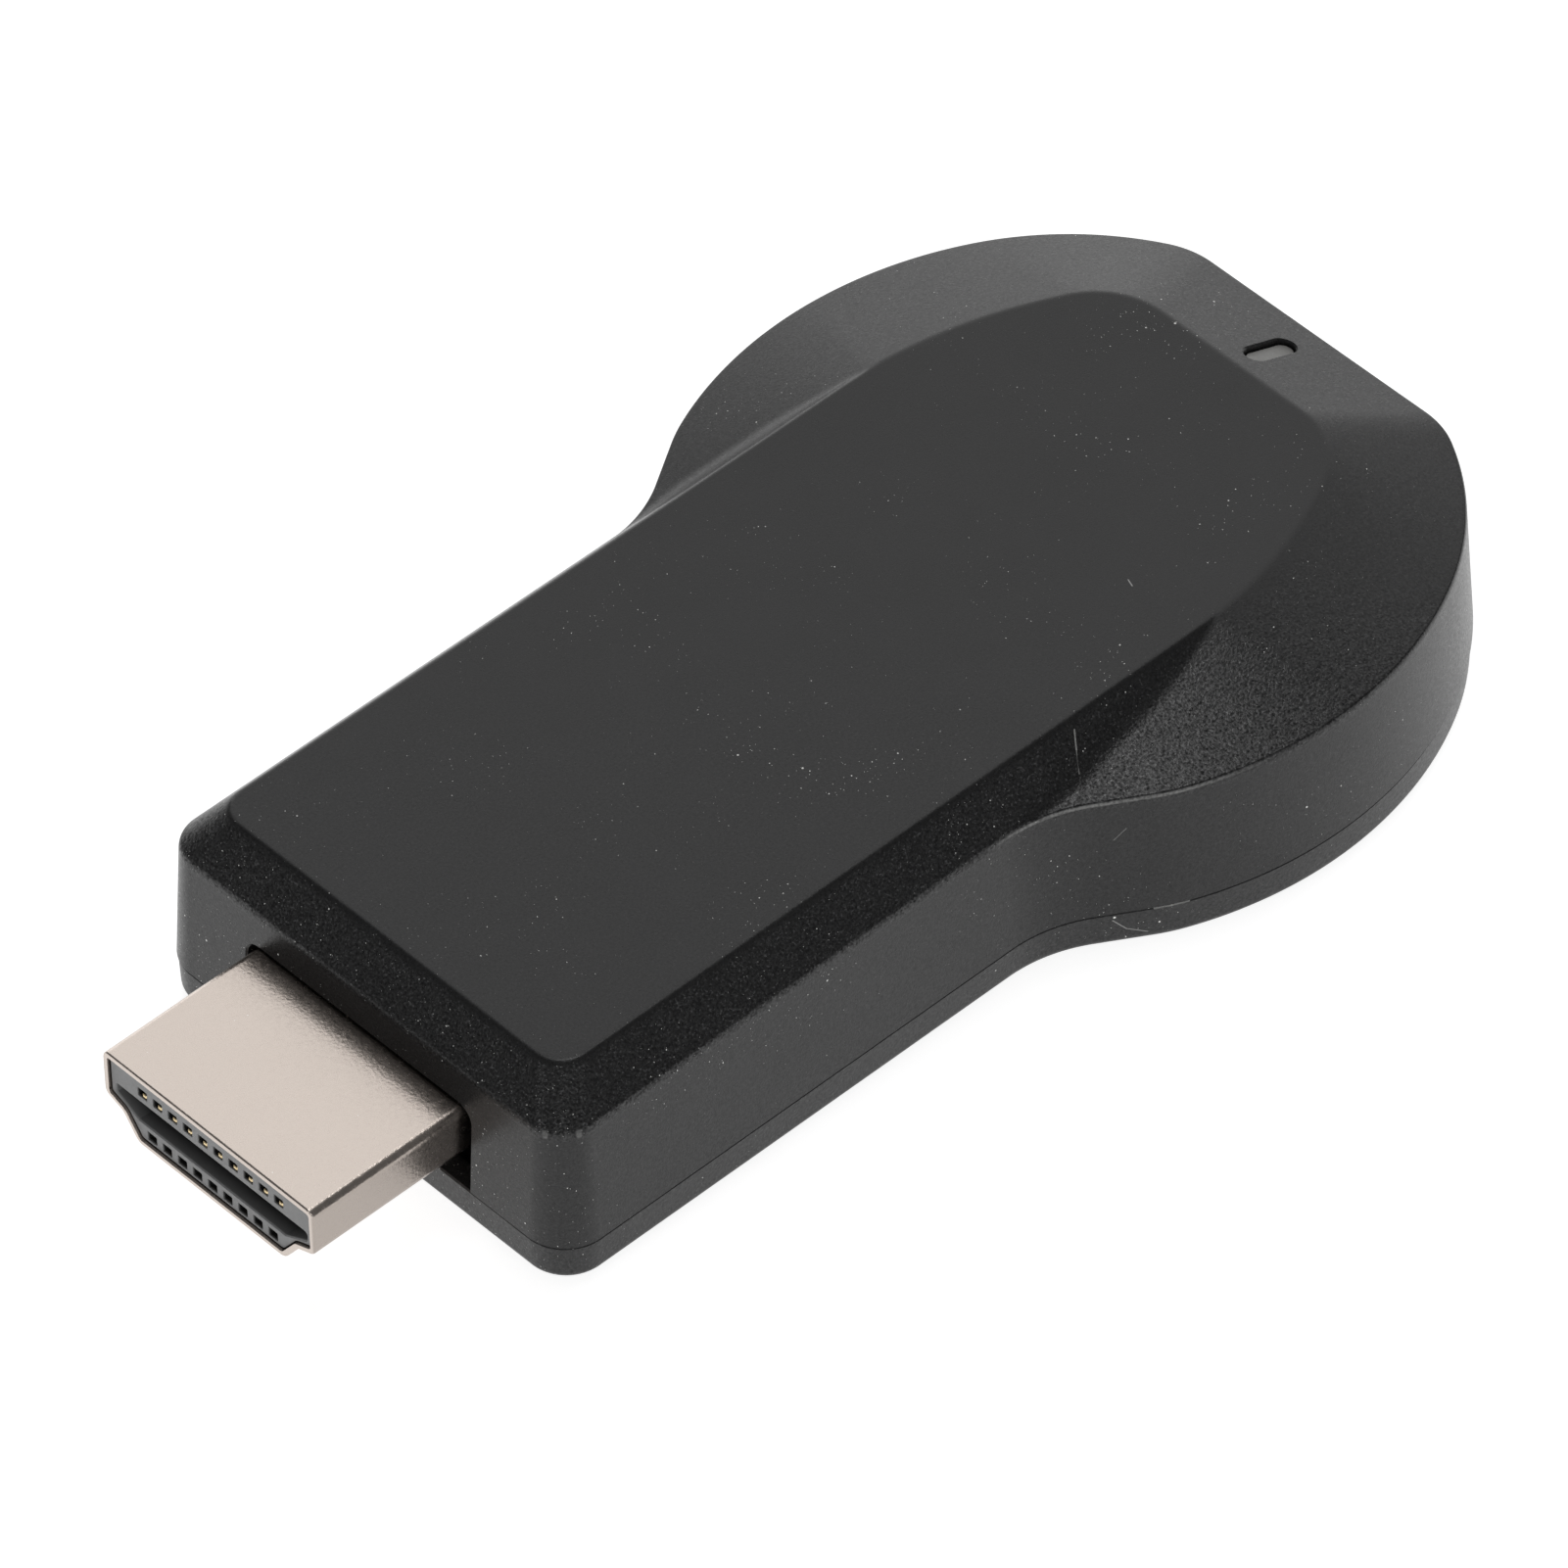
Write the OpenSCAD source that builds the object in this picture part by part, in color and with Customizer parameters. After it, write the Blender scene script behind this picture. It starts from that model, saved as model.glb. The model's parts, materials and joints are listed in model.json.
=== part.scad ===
// Wireless display dongle: a keyhole-shaped two-part moulded housing round a small board,
// with a 19-way video plug on the narrow end and a micro power socket in the flat end.
// X runs from the plug's mouth to the flat end, Z up from the base, lengths in millimetres.
// The origin is at the middle of the whole part's length and width, on the base.

/* [Overall] */
// Length from the plug's mouth to the flat end, along the seam
total_l = 69.4; // [68:0.1:76]
// Height from the base to the plateau
total_h = 11.3; // [11.2:0.1:12.6]
// Width of the round head at the seam
head_w = 37.1; // [36.4:0.1:40]
// Width of the straight neck at the seam
neck_w = 27; // [26:0.1:28]
// Length of plug that stands out of the neck
plug_out = 8.7; // [7.5:0.1:11]

/* [Housing outline] */
// Radius of the head's sides
side_r = 20.9; // [19.5:0.1:24]
// Radius where the head turns towards the flat end
front_r = 16.7; // [14:0.1:19]
// Radius of the corners of the flat end
end_corner_r = 5; // [3.5:0.1:7]
// Radius where the head leaves the flank of the waist
lead_r = 10.4; // [8:0.1:14]
// Radius of the hollow waist
waist_r = 7.6; // [6:0.1:9]
// Radius of the two neck corners
neck_corner_r = 2.3; // [2:0.1:3.5]
// Turn of the head's side before the front radius, in degrees
side_turn = 28; // [24:1:32]
// Turn of the front radius, in degrees
front_turn = 33; // [28:1:36]
// Turn of the head's side towards the waist, in degrees
lead_turn = 23; // [20:1:26]
// Angle of the waist's flank to the neck, in degrees
flank_turn = 32; // [30:1:36]

/* [Housing shells] */
// Height of the seam between the two shells
seam_z = 2.1; // [1.9:0.05:2.3]
// Height from the wall's rim to the plateau
top_rise = 2.25; // [1.9:0.05:2.5]
// Wall of both shells
wall = 1.2; // [1:0.05:1.3]
// Draft of the upper wall, in degrees
wall_draft = 3.4; // [2:0.1:4]
// Round between the wall and the shoulder
rim_round = 0.3; // [0.2:0.05:0.5]
// Round between the slopes and the plateau
plateau_round = 0.3; // [0.2:0.05:0.4]
// Round under the base
base_round = 0.5; // [0.3:0.05:0.7]
// How far the lower shell tapers in below the seam
base_taper = 0.12; // [0.05:0.01:0.3]
// Thickness of the lower shell's lip
lip_t = 0.55; // [0.45:0.05:0.6]
// Height of the lower shell's lip above the seam
lip_h = 0.9; // [0.6:0.05:1.2]
// Clearance round the lip
lip_gap = 0.08; // [0.05:0.01:0.12]

/* [Plateau] */
// Width of the plateau
plateau_w = 22.6; // [21.6:0.1:23.4]
// Distance from the neck's end to the plateau
plateau_near = 2.15; // [1.9:0.05:2.6]
// Distance from the flat end to the plateau
plateau_far = 6.1; // [5.6:0.1:6.8]
// Length of the plateau's flat edge at the flat end
plateau_flat = 9.3; // [8.5:0.1:12]
// Radius of the plateau's corners on the neck
plateau_corner_r = 1.65; // [1.2:0.05:2]
// Radius of the plateau's corners at the flat end
plateau_end_r = 4.2; // [2:0.1:5]
// Radius where the plateau starts to narrow
taper_r = 25; // [15:1:30]
// Angle to which the plateau narrows, in degrees
taper_turn = 26; // [24:1:29]
// Length from the waist to where the shoulder reaches the plateau
merge_l = 15; // [12:0.5:17]

/* [Plug] */
// Width of the plug
plug_w = 13.9; // [13.8:0.05:14]
// Height of the plug
plug_h = 4.45; // [4.4:0.05:4.5]
// Clearance between the plug's underside and the seam
plug_under_gap = 0.375; // [0.3:0.025:0.6]
// Length of the plug's metal tube
plug_l = 13.4; // [13:0.1:14.5]
// Sheet thickness of the plug's tube
plug_t = 0.3; // [0.25:0.01:0.35]
// Height of the plug's straight sides
plug_side_h = 2.7; // [2.6:0.05:2.8]
// Width of the plug's underside
plug_base_w = 9.7; // [9.4:0.1:9.9]
// Pitch of the plug's contacts
plug_pitch = 1; // [0.98:0.01:1.02]
// Contacts in the plug's upper row
plug_pins = 10; // [10:1:10]
// Clearance of the housing at each side of the plug
plug_side_gap = 0.4; // [0.3:0.05:0.5]
// Clearance of the housing above the plug
plug_top_gap = 0.12; // [0.1:0.01:0.2]

/* [Board] */
// Thickness of the board
board_t = 1; // [0.8:0.1:1.1]
// Clearance between the board and the wall
board_gap = 0.35; // [0.25:0.05:0.6]
// Radius of the lower posts
post_r = 1.5; // [1.4:0.05:1.7]
// Radius of the pins on the lower posts
pin_r = 0.75; // [0.65:0.05:0.8]
// Radial clearance of the pins in the upper posts
pin_gap = 0.05; // [0.03:0.01:0.08]

/* [Mode button] */
// Length of the button
button_l = 4.6; // [4:0.1:5]
// Height of the button
button_h = 1.9; // [1.7:0.05:2]
// Travel of the button
button_travel = 0.25; // [0.2:0.01:0.3]
// Clearance round the button
button_gap = 0.12; // [0.1:0.01:0.15]

/* [Power socket] */
// Width of the power socket
socket_w = 7.5; // [7.3:0.05:7.7]
// Height of the power socket
socket_h = 2.5; // [2.4:0.05:2.6]
// Length of the power socket
socket_l = 5.2; // [4.8:0.1:5.6]
// Clearance of the housing round the power socket
socket_gap = 0.25; // [0.2:0.05:0.35]

/* [Light] */
// Length of the light window
window_l = 2.7; // [2.5:0.1:3.4]
// Width of the light window
window_w = 0.9; // [0.8:0.05:1.2]
// Distance from the flat end to the middle of the light window
window_back = 3.6; // [3.4:0.1:3.8]

/* [Hidden] */
$fn = 48;

// One overrun serves every cut
over = 1;

// Places along X that the outlines follow from
mouth_x = -total_l / 2;
end_x = total_l / 2;
neck_x = mouth_x + plug_out;

// Centres of the outline's arcs, in the order in which they are met from the neck
side_end = 90 - side_turn;
front_end = side_end - front_turn;
reach = side_r * cos(side_end) + front_r * (cos(front_end) - cos(side_end))
    + end_corner_r * (1 - cos(front_end));
head_x = end_x - reach;
side_c = [head_x, head_w / 2 - side_r];
front_c = side_c + (side_r - front_r) * dir(side_end);
end_c = front_c + (front_r - end_corner_r) * dir(front_end);
lead_c = side_c + (side_r - lead_r) * dir(90 + lead_turn);
flank_top = lead_c + lead_r * dir(90 + flank_turn);
flank_low_y = neck_w / 2 + waist_r * (1 - cos(flank_turn));
flank_low_x = flank_top.x - (flank_top.y - flank_low_y) / tan(flank_turn);
waist_x = flank_low_x - waist_r * sin(flank_turn);
waist_c = [waist_x, neck_w / 2 + waist_r];
corner_c = [neck_x + neck_corner_r, neck_w / 2 - neck_corner_r];

// Points on each stretch of the outlines: neck corner, neck, waist, flank, lead, side, front, end
corner_n = 4;
neck_n = 4;
waist_n = 4;
lead_n = 2;
side_n = 5;
front_n = 6;
bar_n = waist_n + 1 + lead_n + side_n;
neck_last = corner_n + neck_n;

// Plateau: its start, its end and the arcs that narrow it
plateau_x0 = neck_x + plateau_near;
plateau_x1 = end_x - plateau_far;
plateau_end_c = [plateau_x1 - plateau_end_r, plateau_flat / 2];
taper_end = plateau_end_c + plateau_end_r * dir(90 - taper_turn);
taper_vertex_x = taper_end.x - (plateau_w / 2 - taper_end.y) / tan(taper_turn);
taper_c = [taper_vertex_x - taper_r * tan(taper_turn / 2), plateau_w / 2 - taper_r];

// Slopes of the top: the bar's chamfer and the slope of the flat end
rim_z = total_h - top_rise;
rim_inset = (rim_z - seam_z) * tan(wall_draft);
chamfer_slope = top_rise / (neck_w / 2 - rim_inset - plateau_w / 2);
end_slope = atan(top_rise / (plateau_far - rim_inset));
ceiling_z = total_h - wall;

// Places of the plug
plug_z = seam_z + plug_under_gap + plug_h / 2;
plug_top = plug_z + plug_h / 2;
plug_end = mouth_x + plug_l;
notch_w = plug_w + 2 * plug_side_gap;
notch_top = plug_top + plug_top_gap;
notch_round = 0.8;
plug_top_round = 0.45;
plug_side_round = 0.5;
plug_knee_round = 0.4;
plug_base_round = 0.6;
plug_shelf = 1.15;
plug_shelf_drop = 0.45;
plug_slack = 0.06;
face_recess = 0.3;
slot_depth = 6.5;
slot_top = 1.8;
slot_bottom = 3.05;
slot_side = 0.5;
slot_margin = 0.35;
slot_slant = 1.45;
hole_w = 0.6;
hole_h = 0.5;
upper_hole = 1.15;
lower_hole = 3.65;
contact_w = 0.35;
contact_t = 0.2;
contact_recess = 0.12;
tail_l = 1.8;
tab_out = 1.3;
tab_l = 1.8;
tab_place = 10.6;

// Heights of the board, with its posts and pins
board_z0 = plug_z - board_t / 2;
board_z1 = board_z0 + board_t;
floor_t = wall;
board_inset = wall + board_gap + rim_inset * (board_z1 - seam_z) / (rim_z - seam_z);
board_front = plug_end + board_gap;
ear_slack = 0.5;
pin_rise = 2.4;
pin_relief = 0.3;
post_from_neck = [6.3, 9.2];
post_from_head = [8.8, 7.6];
post_places = [for (s = [-1, 1]) each
    [[neck_x + post_from_neck.x, s * post_from_neck.y], [head_x + post_from_head.x, s * post_from_head.y]]];
post_sink = 0.35;

// Light pipe, its window in the slope of the flat end and its channel under the slope
window_x = end_x - window_back;
window_gap = 0.1;
pipe_recess = 0.3;
pipe_foot_l = 1.3;
pipe_run_t = 0.8;
pipe_lift = 0.15;
pipe_depth = 1.5;
pipe_run_z = rim_z + (window_back - rim_inset) * tan(end_slope) - pipe_depth;

// Power socket in the flat end, sunk in a notch of the board and level with its underside
socket_top = board_z0 + socket_h;
socket_notch = 0.4;
socket_t = 0.25;
socket_round = 0.5;
socket_bevel = 0.8;
socket_recess = 0.3;
socket_mouth = end_x - rim_inset * (socket_top - seam_z) / (rim_z - seam_z) - socket_recess;
socket_back = socket_mouth - socket_l;
socket_slack = 0.05;
socket_lead = 0.35;
tongue_w = 3.6;
tongue_t = 0.6;
tongue_drop = 0.55;
tongue_tip = 0.9;
tongue_z = socket_h - socket_t - socket_slack - tongue_drop - tongue_t;
socket_rear_t = 1.1;
socket_pins = 5;
socket_pitch = 0.65;
socket_contact_w = 0.32;
socket_contact_t = 0.15;
socket_tail = 1.3;
socket_tab_l = 1.6;
socket_tab_w = 1.2;

// Status light under the pipe's foot
led_l = 1.6;
led_w = 0.8;
led_h = 0.6;
led_x = socket_back - socket_tail - socket_notch - led_l / 2;
pipe_floor = board_z1 + led_h + pipe_lift;

// Side switch and the button in front of it, on the far side of the head
switch_w = 4.7;
switch_d = 3.2;
switch_h = 1.65;
switch_cavity_w = 3.2;
switch_cavity_d = 1.1;
switch_wall = 0.25;
cover_t = 0.15;
cover_lap = 1.8;
stem_w = 1.6;
stem_h = 0.8;
head_t = 0.3;
stem_slack = 0.1;
dome_rise = 0.2;
dome_t = 0.1;
dome_w = 2.8;
dome_clear = 0.05;
flange_lap = 0.75;
flange_t = 0.7;
flange_gap = 0.15;
button_sink = 0.03;
button_z = board_z1 + switch_h / 2 + cover_t / 2;
button_face = head_w / 2 - button_sink;
inner_side = side_r - wall - rim_inset * (button_z + button_h / 2 - seam_z) / (rim_z - seam_z);
flange_half = button_l / 2 + flange_lap;
flange_y1 = side_c.y + sqrt(pow(inner_side, 2) - pow(flange_half, 2)) - flange_gap;
flange_y0 = flange_y1 - flange_t;
stem_reach = 1.15;
cover_y = flange_y0 - stem_reach + head_t + button_travel;
base_y1 = cover_y - cover_t;
base_y0 = base_y1 - switch_d;

// Chips on the board: each place is measured from the neck's end or from the head's middle
processor_w = 13;
processor_h = 1.2;
processor_cap = 0.5;
processor_from_neck = [16.6, 0];
pad_t = 0.5;
sink_l = 15;
sink_w = 15;
sink_base = 0.6;
sink_fins = 7;
sink_fin_t = 0.8;
sink_fin_h = 0.6;
memory_l = 8;
memory_w = 12.5;
memory_h = 1;
memory_from_head = [-5.6, 0];
flash_l = 5;
flash_w = 4;
flash_h = 1.4;
flash_from_head = [3, -3];
flash_legs = 4;
flash_pitch = 1.27;
leg_w = 0.42;
leg_t = 0.2;
leg_out = 1;
radio_l = 10;
radio_w = 10;
radio_t = 0.8;
radio_from_edge = [-1.5, 11.15];
can_l = 8;
can_w = 8.2;
can_h = 1.6;
can_t = 0.2;
can_round = 0.6;
antenna_l = 5;
antenna_w = 2;
antenna_h = 1;
antenna_cap = 0.5;
antenna_from_edge = [0, 3.35];
crystal_l = 3.2;
crystal_w = 2.5;
crystal_h = 0.8;
crystal_lid = 0.3;
crystal_from_neck = [7.9, 6];
coil_w = 4;
coil_h = 2;
coil_core_r = 1.6;
coil_plate = 0.5;
coil_from_head = [5.8, 3.6];
regulator_l = 2.9;
regulator_w = 1.6;
regulator_h = 1.1;
regulator_pitch = 0.95;
regulator_from_head = [5, 9.8];
capacitor = [1.6, 0.8, 0.8];
capacitor_pitch = 1.6;
capacitor_n = 5;
capacitor_from_neck = [8.4, -5.6];
bulk_capacitor = [2, 1.25, 1.2];
bulk_from_head = [-8.2, 8.2];
bulk_pitch = 1.9;
resistor = [1, 0.5, 0.35];
resistor_pitch = 1.1;
resistor_n = 6;
resistor_from_head = [3, 1.4];
led_resistor_gap = 1.5;

function dir(a) = [cos(a), sin(a)];
function arc(c, r, a0, a1, n) = [for (i = [1:n]) c + r * dir(a0 + (a1 - a0) * i / n)];
function line(p, q, n) = [for (i = [1:n]) p + (q - p) * i / n];
function last(list) = list[len(list) - 1];
function inset_at(z) = (z - seam_z) * tan(wall_draft);

// Fillets corner b of the path a, b, c with radius r
function fillet(a, b, c, r, n) =
    let (v = (a - b) / norm(a - b), w = (c - b) / norm(c - b), half = acos(v * w) / 2,
         q = b + (v + w) / norm(v + w) * r / sin(half), s = b + v * r / tan(half) - q,
         e = b + w * r / tan(half) - q, a0 = atan2(s.y, s.x),
         turn = (atan2(e.y, e.x) - a0 + 540) % 360 - 180)
    [for (i = [0:n]) q + r * dir(a0 + turn * i / n)];

// Half of the housing's outline, moved in by d, from the neck's end to the flat end
function outline_half(d) =
    let (start = corner_c + (neck_corner_r - d) * dir(180), waist = [waist_x, neck_w / 2 - d],
         corner = arc(corner_c, neck_corner_r - d, 180, 90, corner_n))
    concat([start], corner, line(last(corner), waist, neck_n),
        arc(waist_c, waist_r + d, -90, flank_turn - 90, waist_n),
        [lead_c + (lead_r - d) * dir(90 + flank_turn)],
        arc(lead_c, lead_r - d, 90 + flank_turn, 90 + lead_turn, lead_n),
        arc(side_c, side_r - d, 90 + lead_turn, 90, side_n),
        arc(side_c, side_r - d, 90, side_end, side_n),
        arc(front_c, front_r - d, side_end, front_end, front_n),
        arc(end_c, end_corner_r - d, front_end, 0, corner_n));

// Half of the plateau's outline, moved in by d, point for point beside outline_half
function plateau_half(d) =
    let (near_c = [plateau_x0 + plateau_corner_r, plateau_w / 2 - plateau_corner_r],
         corner = arc(near_c, plateau_corner_r - d, 180, 90, corner_n), y = plateau_w / 2 - d)
    concat([near_c + (plateau_corner_r - d) * dir(180)], corner,
        line(last(corner), [waist_x, y], neck_n), line([waist_x, y], [taper_c.x, y], bar_n),
        arc(taper_c, taper_r - d, 90, 90 - taper_turn, side_n),
        line(taper_c + (taper_r - d) * dir(90 - taper_turn),
            plateau_end_c + (plateau_end_r - d) * dir(90 - taper_turn), front_n),
        arc(plateau_end_c, plateau_end_r - d, 90 - taper_turn, 0, corner_n));

// A half outline lifted to a height, and one joined to its mirror image as a closed loop
function lifted(half, z) = [for (p = half) [p.x, p.y, z]];
function flipped(p) = [for (k = [0:len(p) - 1]) k == 1 ? -p[k] : p[k]];
function closed(half) = concat(half, [for (i = [len(half) - 1:-1:0]) flipped(half[i])]);

rim = outline_half(rim_inset);
plateau = plateau_half(0);

// Height that the shoulder has reached where it runs in under the plateau's edge
function shoulder_top(i) =
    i <= neck_last ? rim_z : rim_z + top_rise * min(1, (plateau[i].x - waist_x) / merge_l);

// Share of the way from rim to plateau at which the shoulder meets the bar's chamfer
function crease(i) =
    let (low = total_h - chamfer_slope * (rim[i].y - plateau_w / 2))
    i <= neck_last ? 0 : (rim_z - low) / (total_h - low - shoulder_top(i) + rim_z);

// Point on the sloping top, a share t of the way from rim to plateau
function slope_point(i, t) =
    let (p = rim[i] + (plateau[i] - rim[i]) * t, tc = crease(i),
         zc = rim_z + (shoulder_top(i) - rim_z) * tc)
    [p.x, p.y, t <= tc ? rim_z + (shoulder_top(i) - rim_z) * t
        : zc + (total_h - zc) * (t - tc) / (1 - tc)];
function low_share(i) = rim_round / norm(plateau[i] - rim[i]);
function high_share(i) = 1 - plateau_round / norm(plateau[i] - rim[i]);
function crease_share(i) =
    let (lo = low_share(i), hi = high_share(i)) min(max(crease(i), lo + (hi - lo) / 3), hi - (hi - lo) / 8);
function softened(a, c, b) = [for (i = [0:len(a) - 1]) (a[i] + 2 * c[i] + b[i]) / 4];

// Solid skin over a stack of loops of equal length, closed by strips across its two end loops
module loft(rings) {
    n = len(rings[0]);
    m = len(rings);
    points = [for (r = rings) each r];
    sides = [for (k = [0:m - 2]) for (i = [0:n - 1])
        let (a = k * n + i, b = k * n + (i + 1) % n, c = b + n, d = a + n) each [[a, d, c], [a, c, b]]];
    first = [for (i = [0:n / 2 - 2]) let (j = n - 1 - i) each [[i, i + 1, j - 1], [i, j - 1, j]]];
    base = (m - 1) * n;
    final = [for (f = first) [base + f[2], base + f[1], base + f[0]]];
    polyhedron(points, concat(first, sides, final), convexity = 6);
}

// A box that stands on z = 0 about the middle of its length and width
module slab(size) {
    translate([-size.x / 2, -size.y / 2, 0]) cube(size);
}

// A slot-shaped disc along X
module stadium(l, w, h) {
    linear_extrude(h) {
        square([l - w, w], center = true);
        for (s = [-1, 1]) translate([s * (l - w) / 2, 0]) circle(d = w);
    }
}

// Stands its children on the board at a place measured from the neck's end
module from_neck(p) {
    translate([neck_x + p.x, p.y, board_z1]) children();
}

// Stands its children on the board at a place measured from the head's middle
module from_head(p) {
    translate([head_x + p.x, p.y, board_z1]) children();
}

// Hangs its children under the board at a place measured from the head's middle
module under_head(p) {
    translate([head_x + p.x, p.y, board_z0]) mirror([0, 0, 1]) children();
}

// Stands its children on the board at a place measured in from the near edge of the head
module from_edge(p) {
    translate([head_x + p.x, p.y - head_w / 2, board_z1]) children();
}

// Cuts away what lies higher than drop below the slope of the flat end
module above_slope(drop) {
    translate([end_x - rim_inset, 0, rim_z - drop]) rotate([0, end_slope, 0])
        translate([-total_l, -head_w / 2, 0]) cube([total_l + over, head_w, total_h]);
}

// Upper shell: drafted wall, shoulders, chamfered bar and plateau over a hollow with posts
module upper_housing() {
    idx = [0:len(rim) - 1];
    wall_top = lifted(outline_half(inset_at(rim_z - rim_round)), rim_z - rim_round);
    slope_low = [for (i = idx) slope_point(i, low_share(i))];
    slope_mid = [for (i = idx) slope_point(i, (low_share(i) + crease_share(i)) / 2)];
    slope_crease = [for (i = idx) slope_point(i, crease_share(i))];
    slope_high = [for (i = idx) slope_point(i, high_share(i))];
    top_edge = lifted(plateau_half(plateau_round), total_h);
    lip_inset = wall - lip_t - lip_gap;
    lip_top = seam_z + lip_h + lip_gap;
    ceiling_rim_z = rim_z - wall * 3 / 4;
    inner_rim = outline_half(wall + inset_at(ceiling_rim_z));
    inner_plateau = plateau_half(wall * 2 / 5);
    inner_crease = [for (i = idx) let (p = inner_rim[i] + (inner_plateau[i] - inner_rim[i]) * crease_share(i))
        [p.x, p.y, min(slope_crease[i].z, total_h - plateau_round) - wall]];
    rings = [
        top_edge,
        softened(slope_high, lifted(plateau, total_h), top_edge),
        slope_high, slope_crease, slope_mid, slope_low,
        softened(wall_top, lifted(rim, rim_z), slope_low),
        wall_top,
        lifted(outline_half(0), seam_z),
        lifted(outline_half(lip_inset), seam_z),
        lifted(outline_half(lip_inset), lip_top),
        lifted(outline_half(wall), lip_top),
        lifted(inner_rim, ceiling_rim_z),
        inner_crease,
        lifted(inner_plateau, ceiling_z)];
    color("dimgray") difference() {
        union() {
            loft([for (r = rings) closed(r)]);
            for (p = post_places) translate([p.x, p.y, board_z1])
                cylinder(h = ceiling_z + post_sink - board_z1, r = post_r);
        }
        for (p = post_places) translate([p.x, p.y, board_z1 - over])
            cylinder(h = over + pin_rise + pin_relief, r = pin_r + pin_gap);
        plug_notch();
        socket_opening();
        light_window();
        button_opening();
    }
}

// The light window, with the channel that holds the pipe's run under the slope
module light_window() {
    w = window_w + 2 * window_gap;
    translate([window_x, 0, socket_top]) stadium(window_l + 2 * window_gap, w, total_h);
    translate([led_x - pipe_foot_l / 2 - window_gap, -w / 2, board_z1])
        cube([window_x - led_x + pipe_foot_l / 2, w, pipe_run_z + pipe_run_t + window_gap - board_z1]);
}

// The button's opening in the wall, with the pockets for its flange and for the switch behind it
module button_opening() {
    translate([head_x, flange_y0 - button_travel - flange_gap, button_z]) rotate([-90, 0, 0]) {
        stadium(button_l + 2 * button_gap, button_h + 2 * button_gap, wall + flange_t + flange_lap + over);
        stadium(2 * (flange_half + flange_gap), button_h + flange_lap + 2 * flange_gap,
            flange_t + button_travel + 2 * flange_gap);
    }
    translate([head_x, (base_y0 + flange_y0) / 2, board_z1])
        slab([switch_w + 2 * flange_gap, flange_y0 - base_y0, switch_h + cover_t + flange_gap]);
}

// The opening for the plug, which reaches down to the seam
module plug_notch() {
    translate([neck_x - over, 0, seam_z]) rotate([90, 0, 90]) linear_extrude(over + 2 * wall + rim_inset) {
        translate([-notch_w / 2, -over]) square([notch_w, notch_top - notch_round - seam_z + over]);
        translate([notch_round - notch_w / 2, 0])
            square([notch_w - 2 * notch_round, notch_top - seam_z]);
        for (s = [-1, 1])
            translate([s * (notch_w / 2 - notch_round), notch_top - notch_round - seam_z])
                circle(r = notch_round);
    }
}

// The opening round the power socket in the flat end, with a wider lead-in on the outside
module socket_opening() {
    translate([socket_back, 0, board_z0 - socket_gap]) {
        rounded_bar(socket_l + wall + over, socket_w + 2 * socket_gap, socket_h + 2 * socket_gap, socket_round);
        translate([socket_l - wall / 4, 0, -socket_lead])
            rounded_bar(wall + over, socket_w + 2 * (socket_gap + socket_lead),
                socket_h + 2 * (socket_gap + socket_lead), socket_round + socket_lead);
    }
}

// A bar along X, standing on z = 0, with round long edges
module rounded_bar(l, w, h, r) {
    rotate([90, 0, 90]) linear_extrude(l) {
        translate([-w / 2 + r, 0]) square([w - 2 * r, h]);
        translate([-w / 2, r]) square([w, h - 2 * r]);
        for (y = [-w / 2 + r, w / 2 - r]) for (z = [r, h - r]) translate([y, z]) circle(r = r);
    }
}

// Lower shell: floor, lip that locates the upper shell, and posts with pins for the board
module lower_housing() {
    low = base_taper;
    rings = [
        lifted(outline_half(wall + low), floor_t),
        lifted(outline_half(wall), seam_z),
        lifted(outline_half(wall), seam_z + lip_h),
        lifted(outline_half(wall - lip_t), seam_z + lip_h),
        lifted(outline_half(wall - lip_t), seam_z),
        lifted(outline_half(low / 2), seam_z),
        lifted(outline_half(low), base_round),
        lifted(outline_half(low + base_round / 4), base_round / 4),
        lifted(outline_half(low + base_round), 0)];
    color([0.27, 0.27, 0.27]) {
        difference() {
            loft([for (r = rings) closed(r)]);
            translate([neck_x - over, -notch_w / 2, seam_z])
                cube([over + 2 * wall, notch_w, lip_h + over]);
        }
        for (p = post_places) translate([p.x, p.y, floor_t - post_sink]) {
            cylinder(h = board_z0 - floor_t + post_sink, r = post_r);
            cylinder(h = board_z1 + pin_rise - floor_t + post_sink, r = pin_r);
        }
    }
}

// Clear pipe from the window in the slope back and down to the status light
module light_pipe() {
    run_x = led_x - pipe_foot_l / 2;
    color("silver") difference() {
        union() {
            translate([window_x, 0, pipe_run_z]) stadium(window_l, window_w, total_h - pipe_run_z);
            translate([run_x, -window_w / 2, pipe_run_z])
                cube([window_x - run_x, window_w, pipe_run_t]);
            translate([led_x, 0, pipe_floor])
                slab([pipe_foot_l, window_w, pipe_run_z + pipe_run_t - pipe_floor]);
        }
        above_slope(pipe_recess);
    }
}

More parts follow.
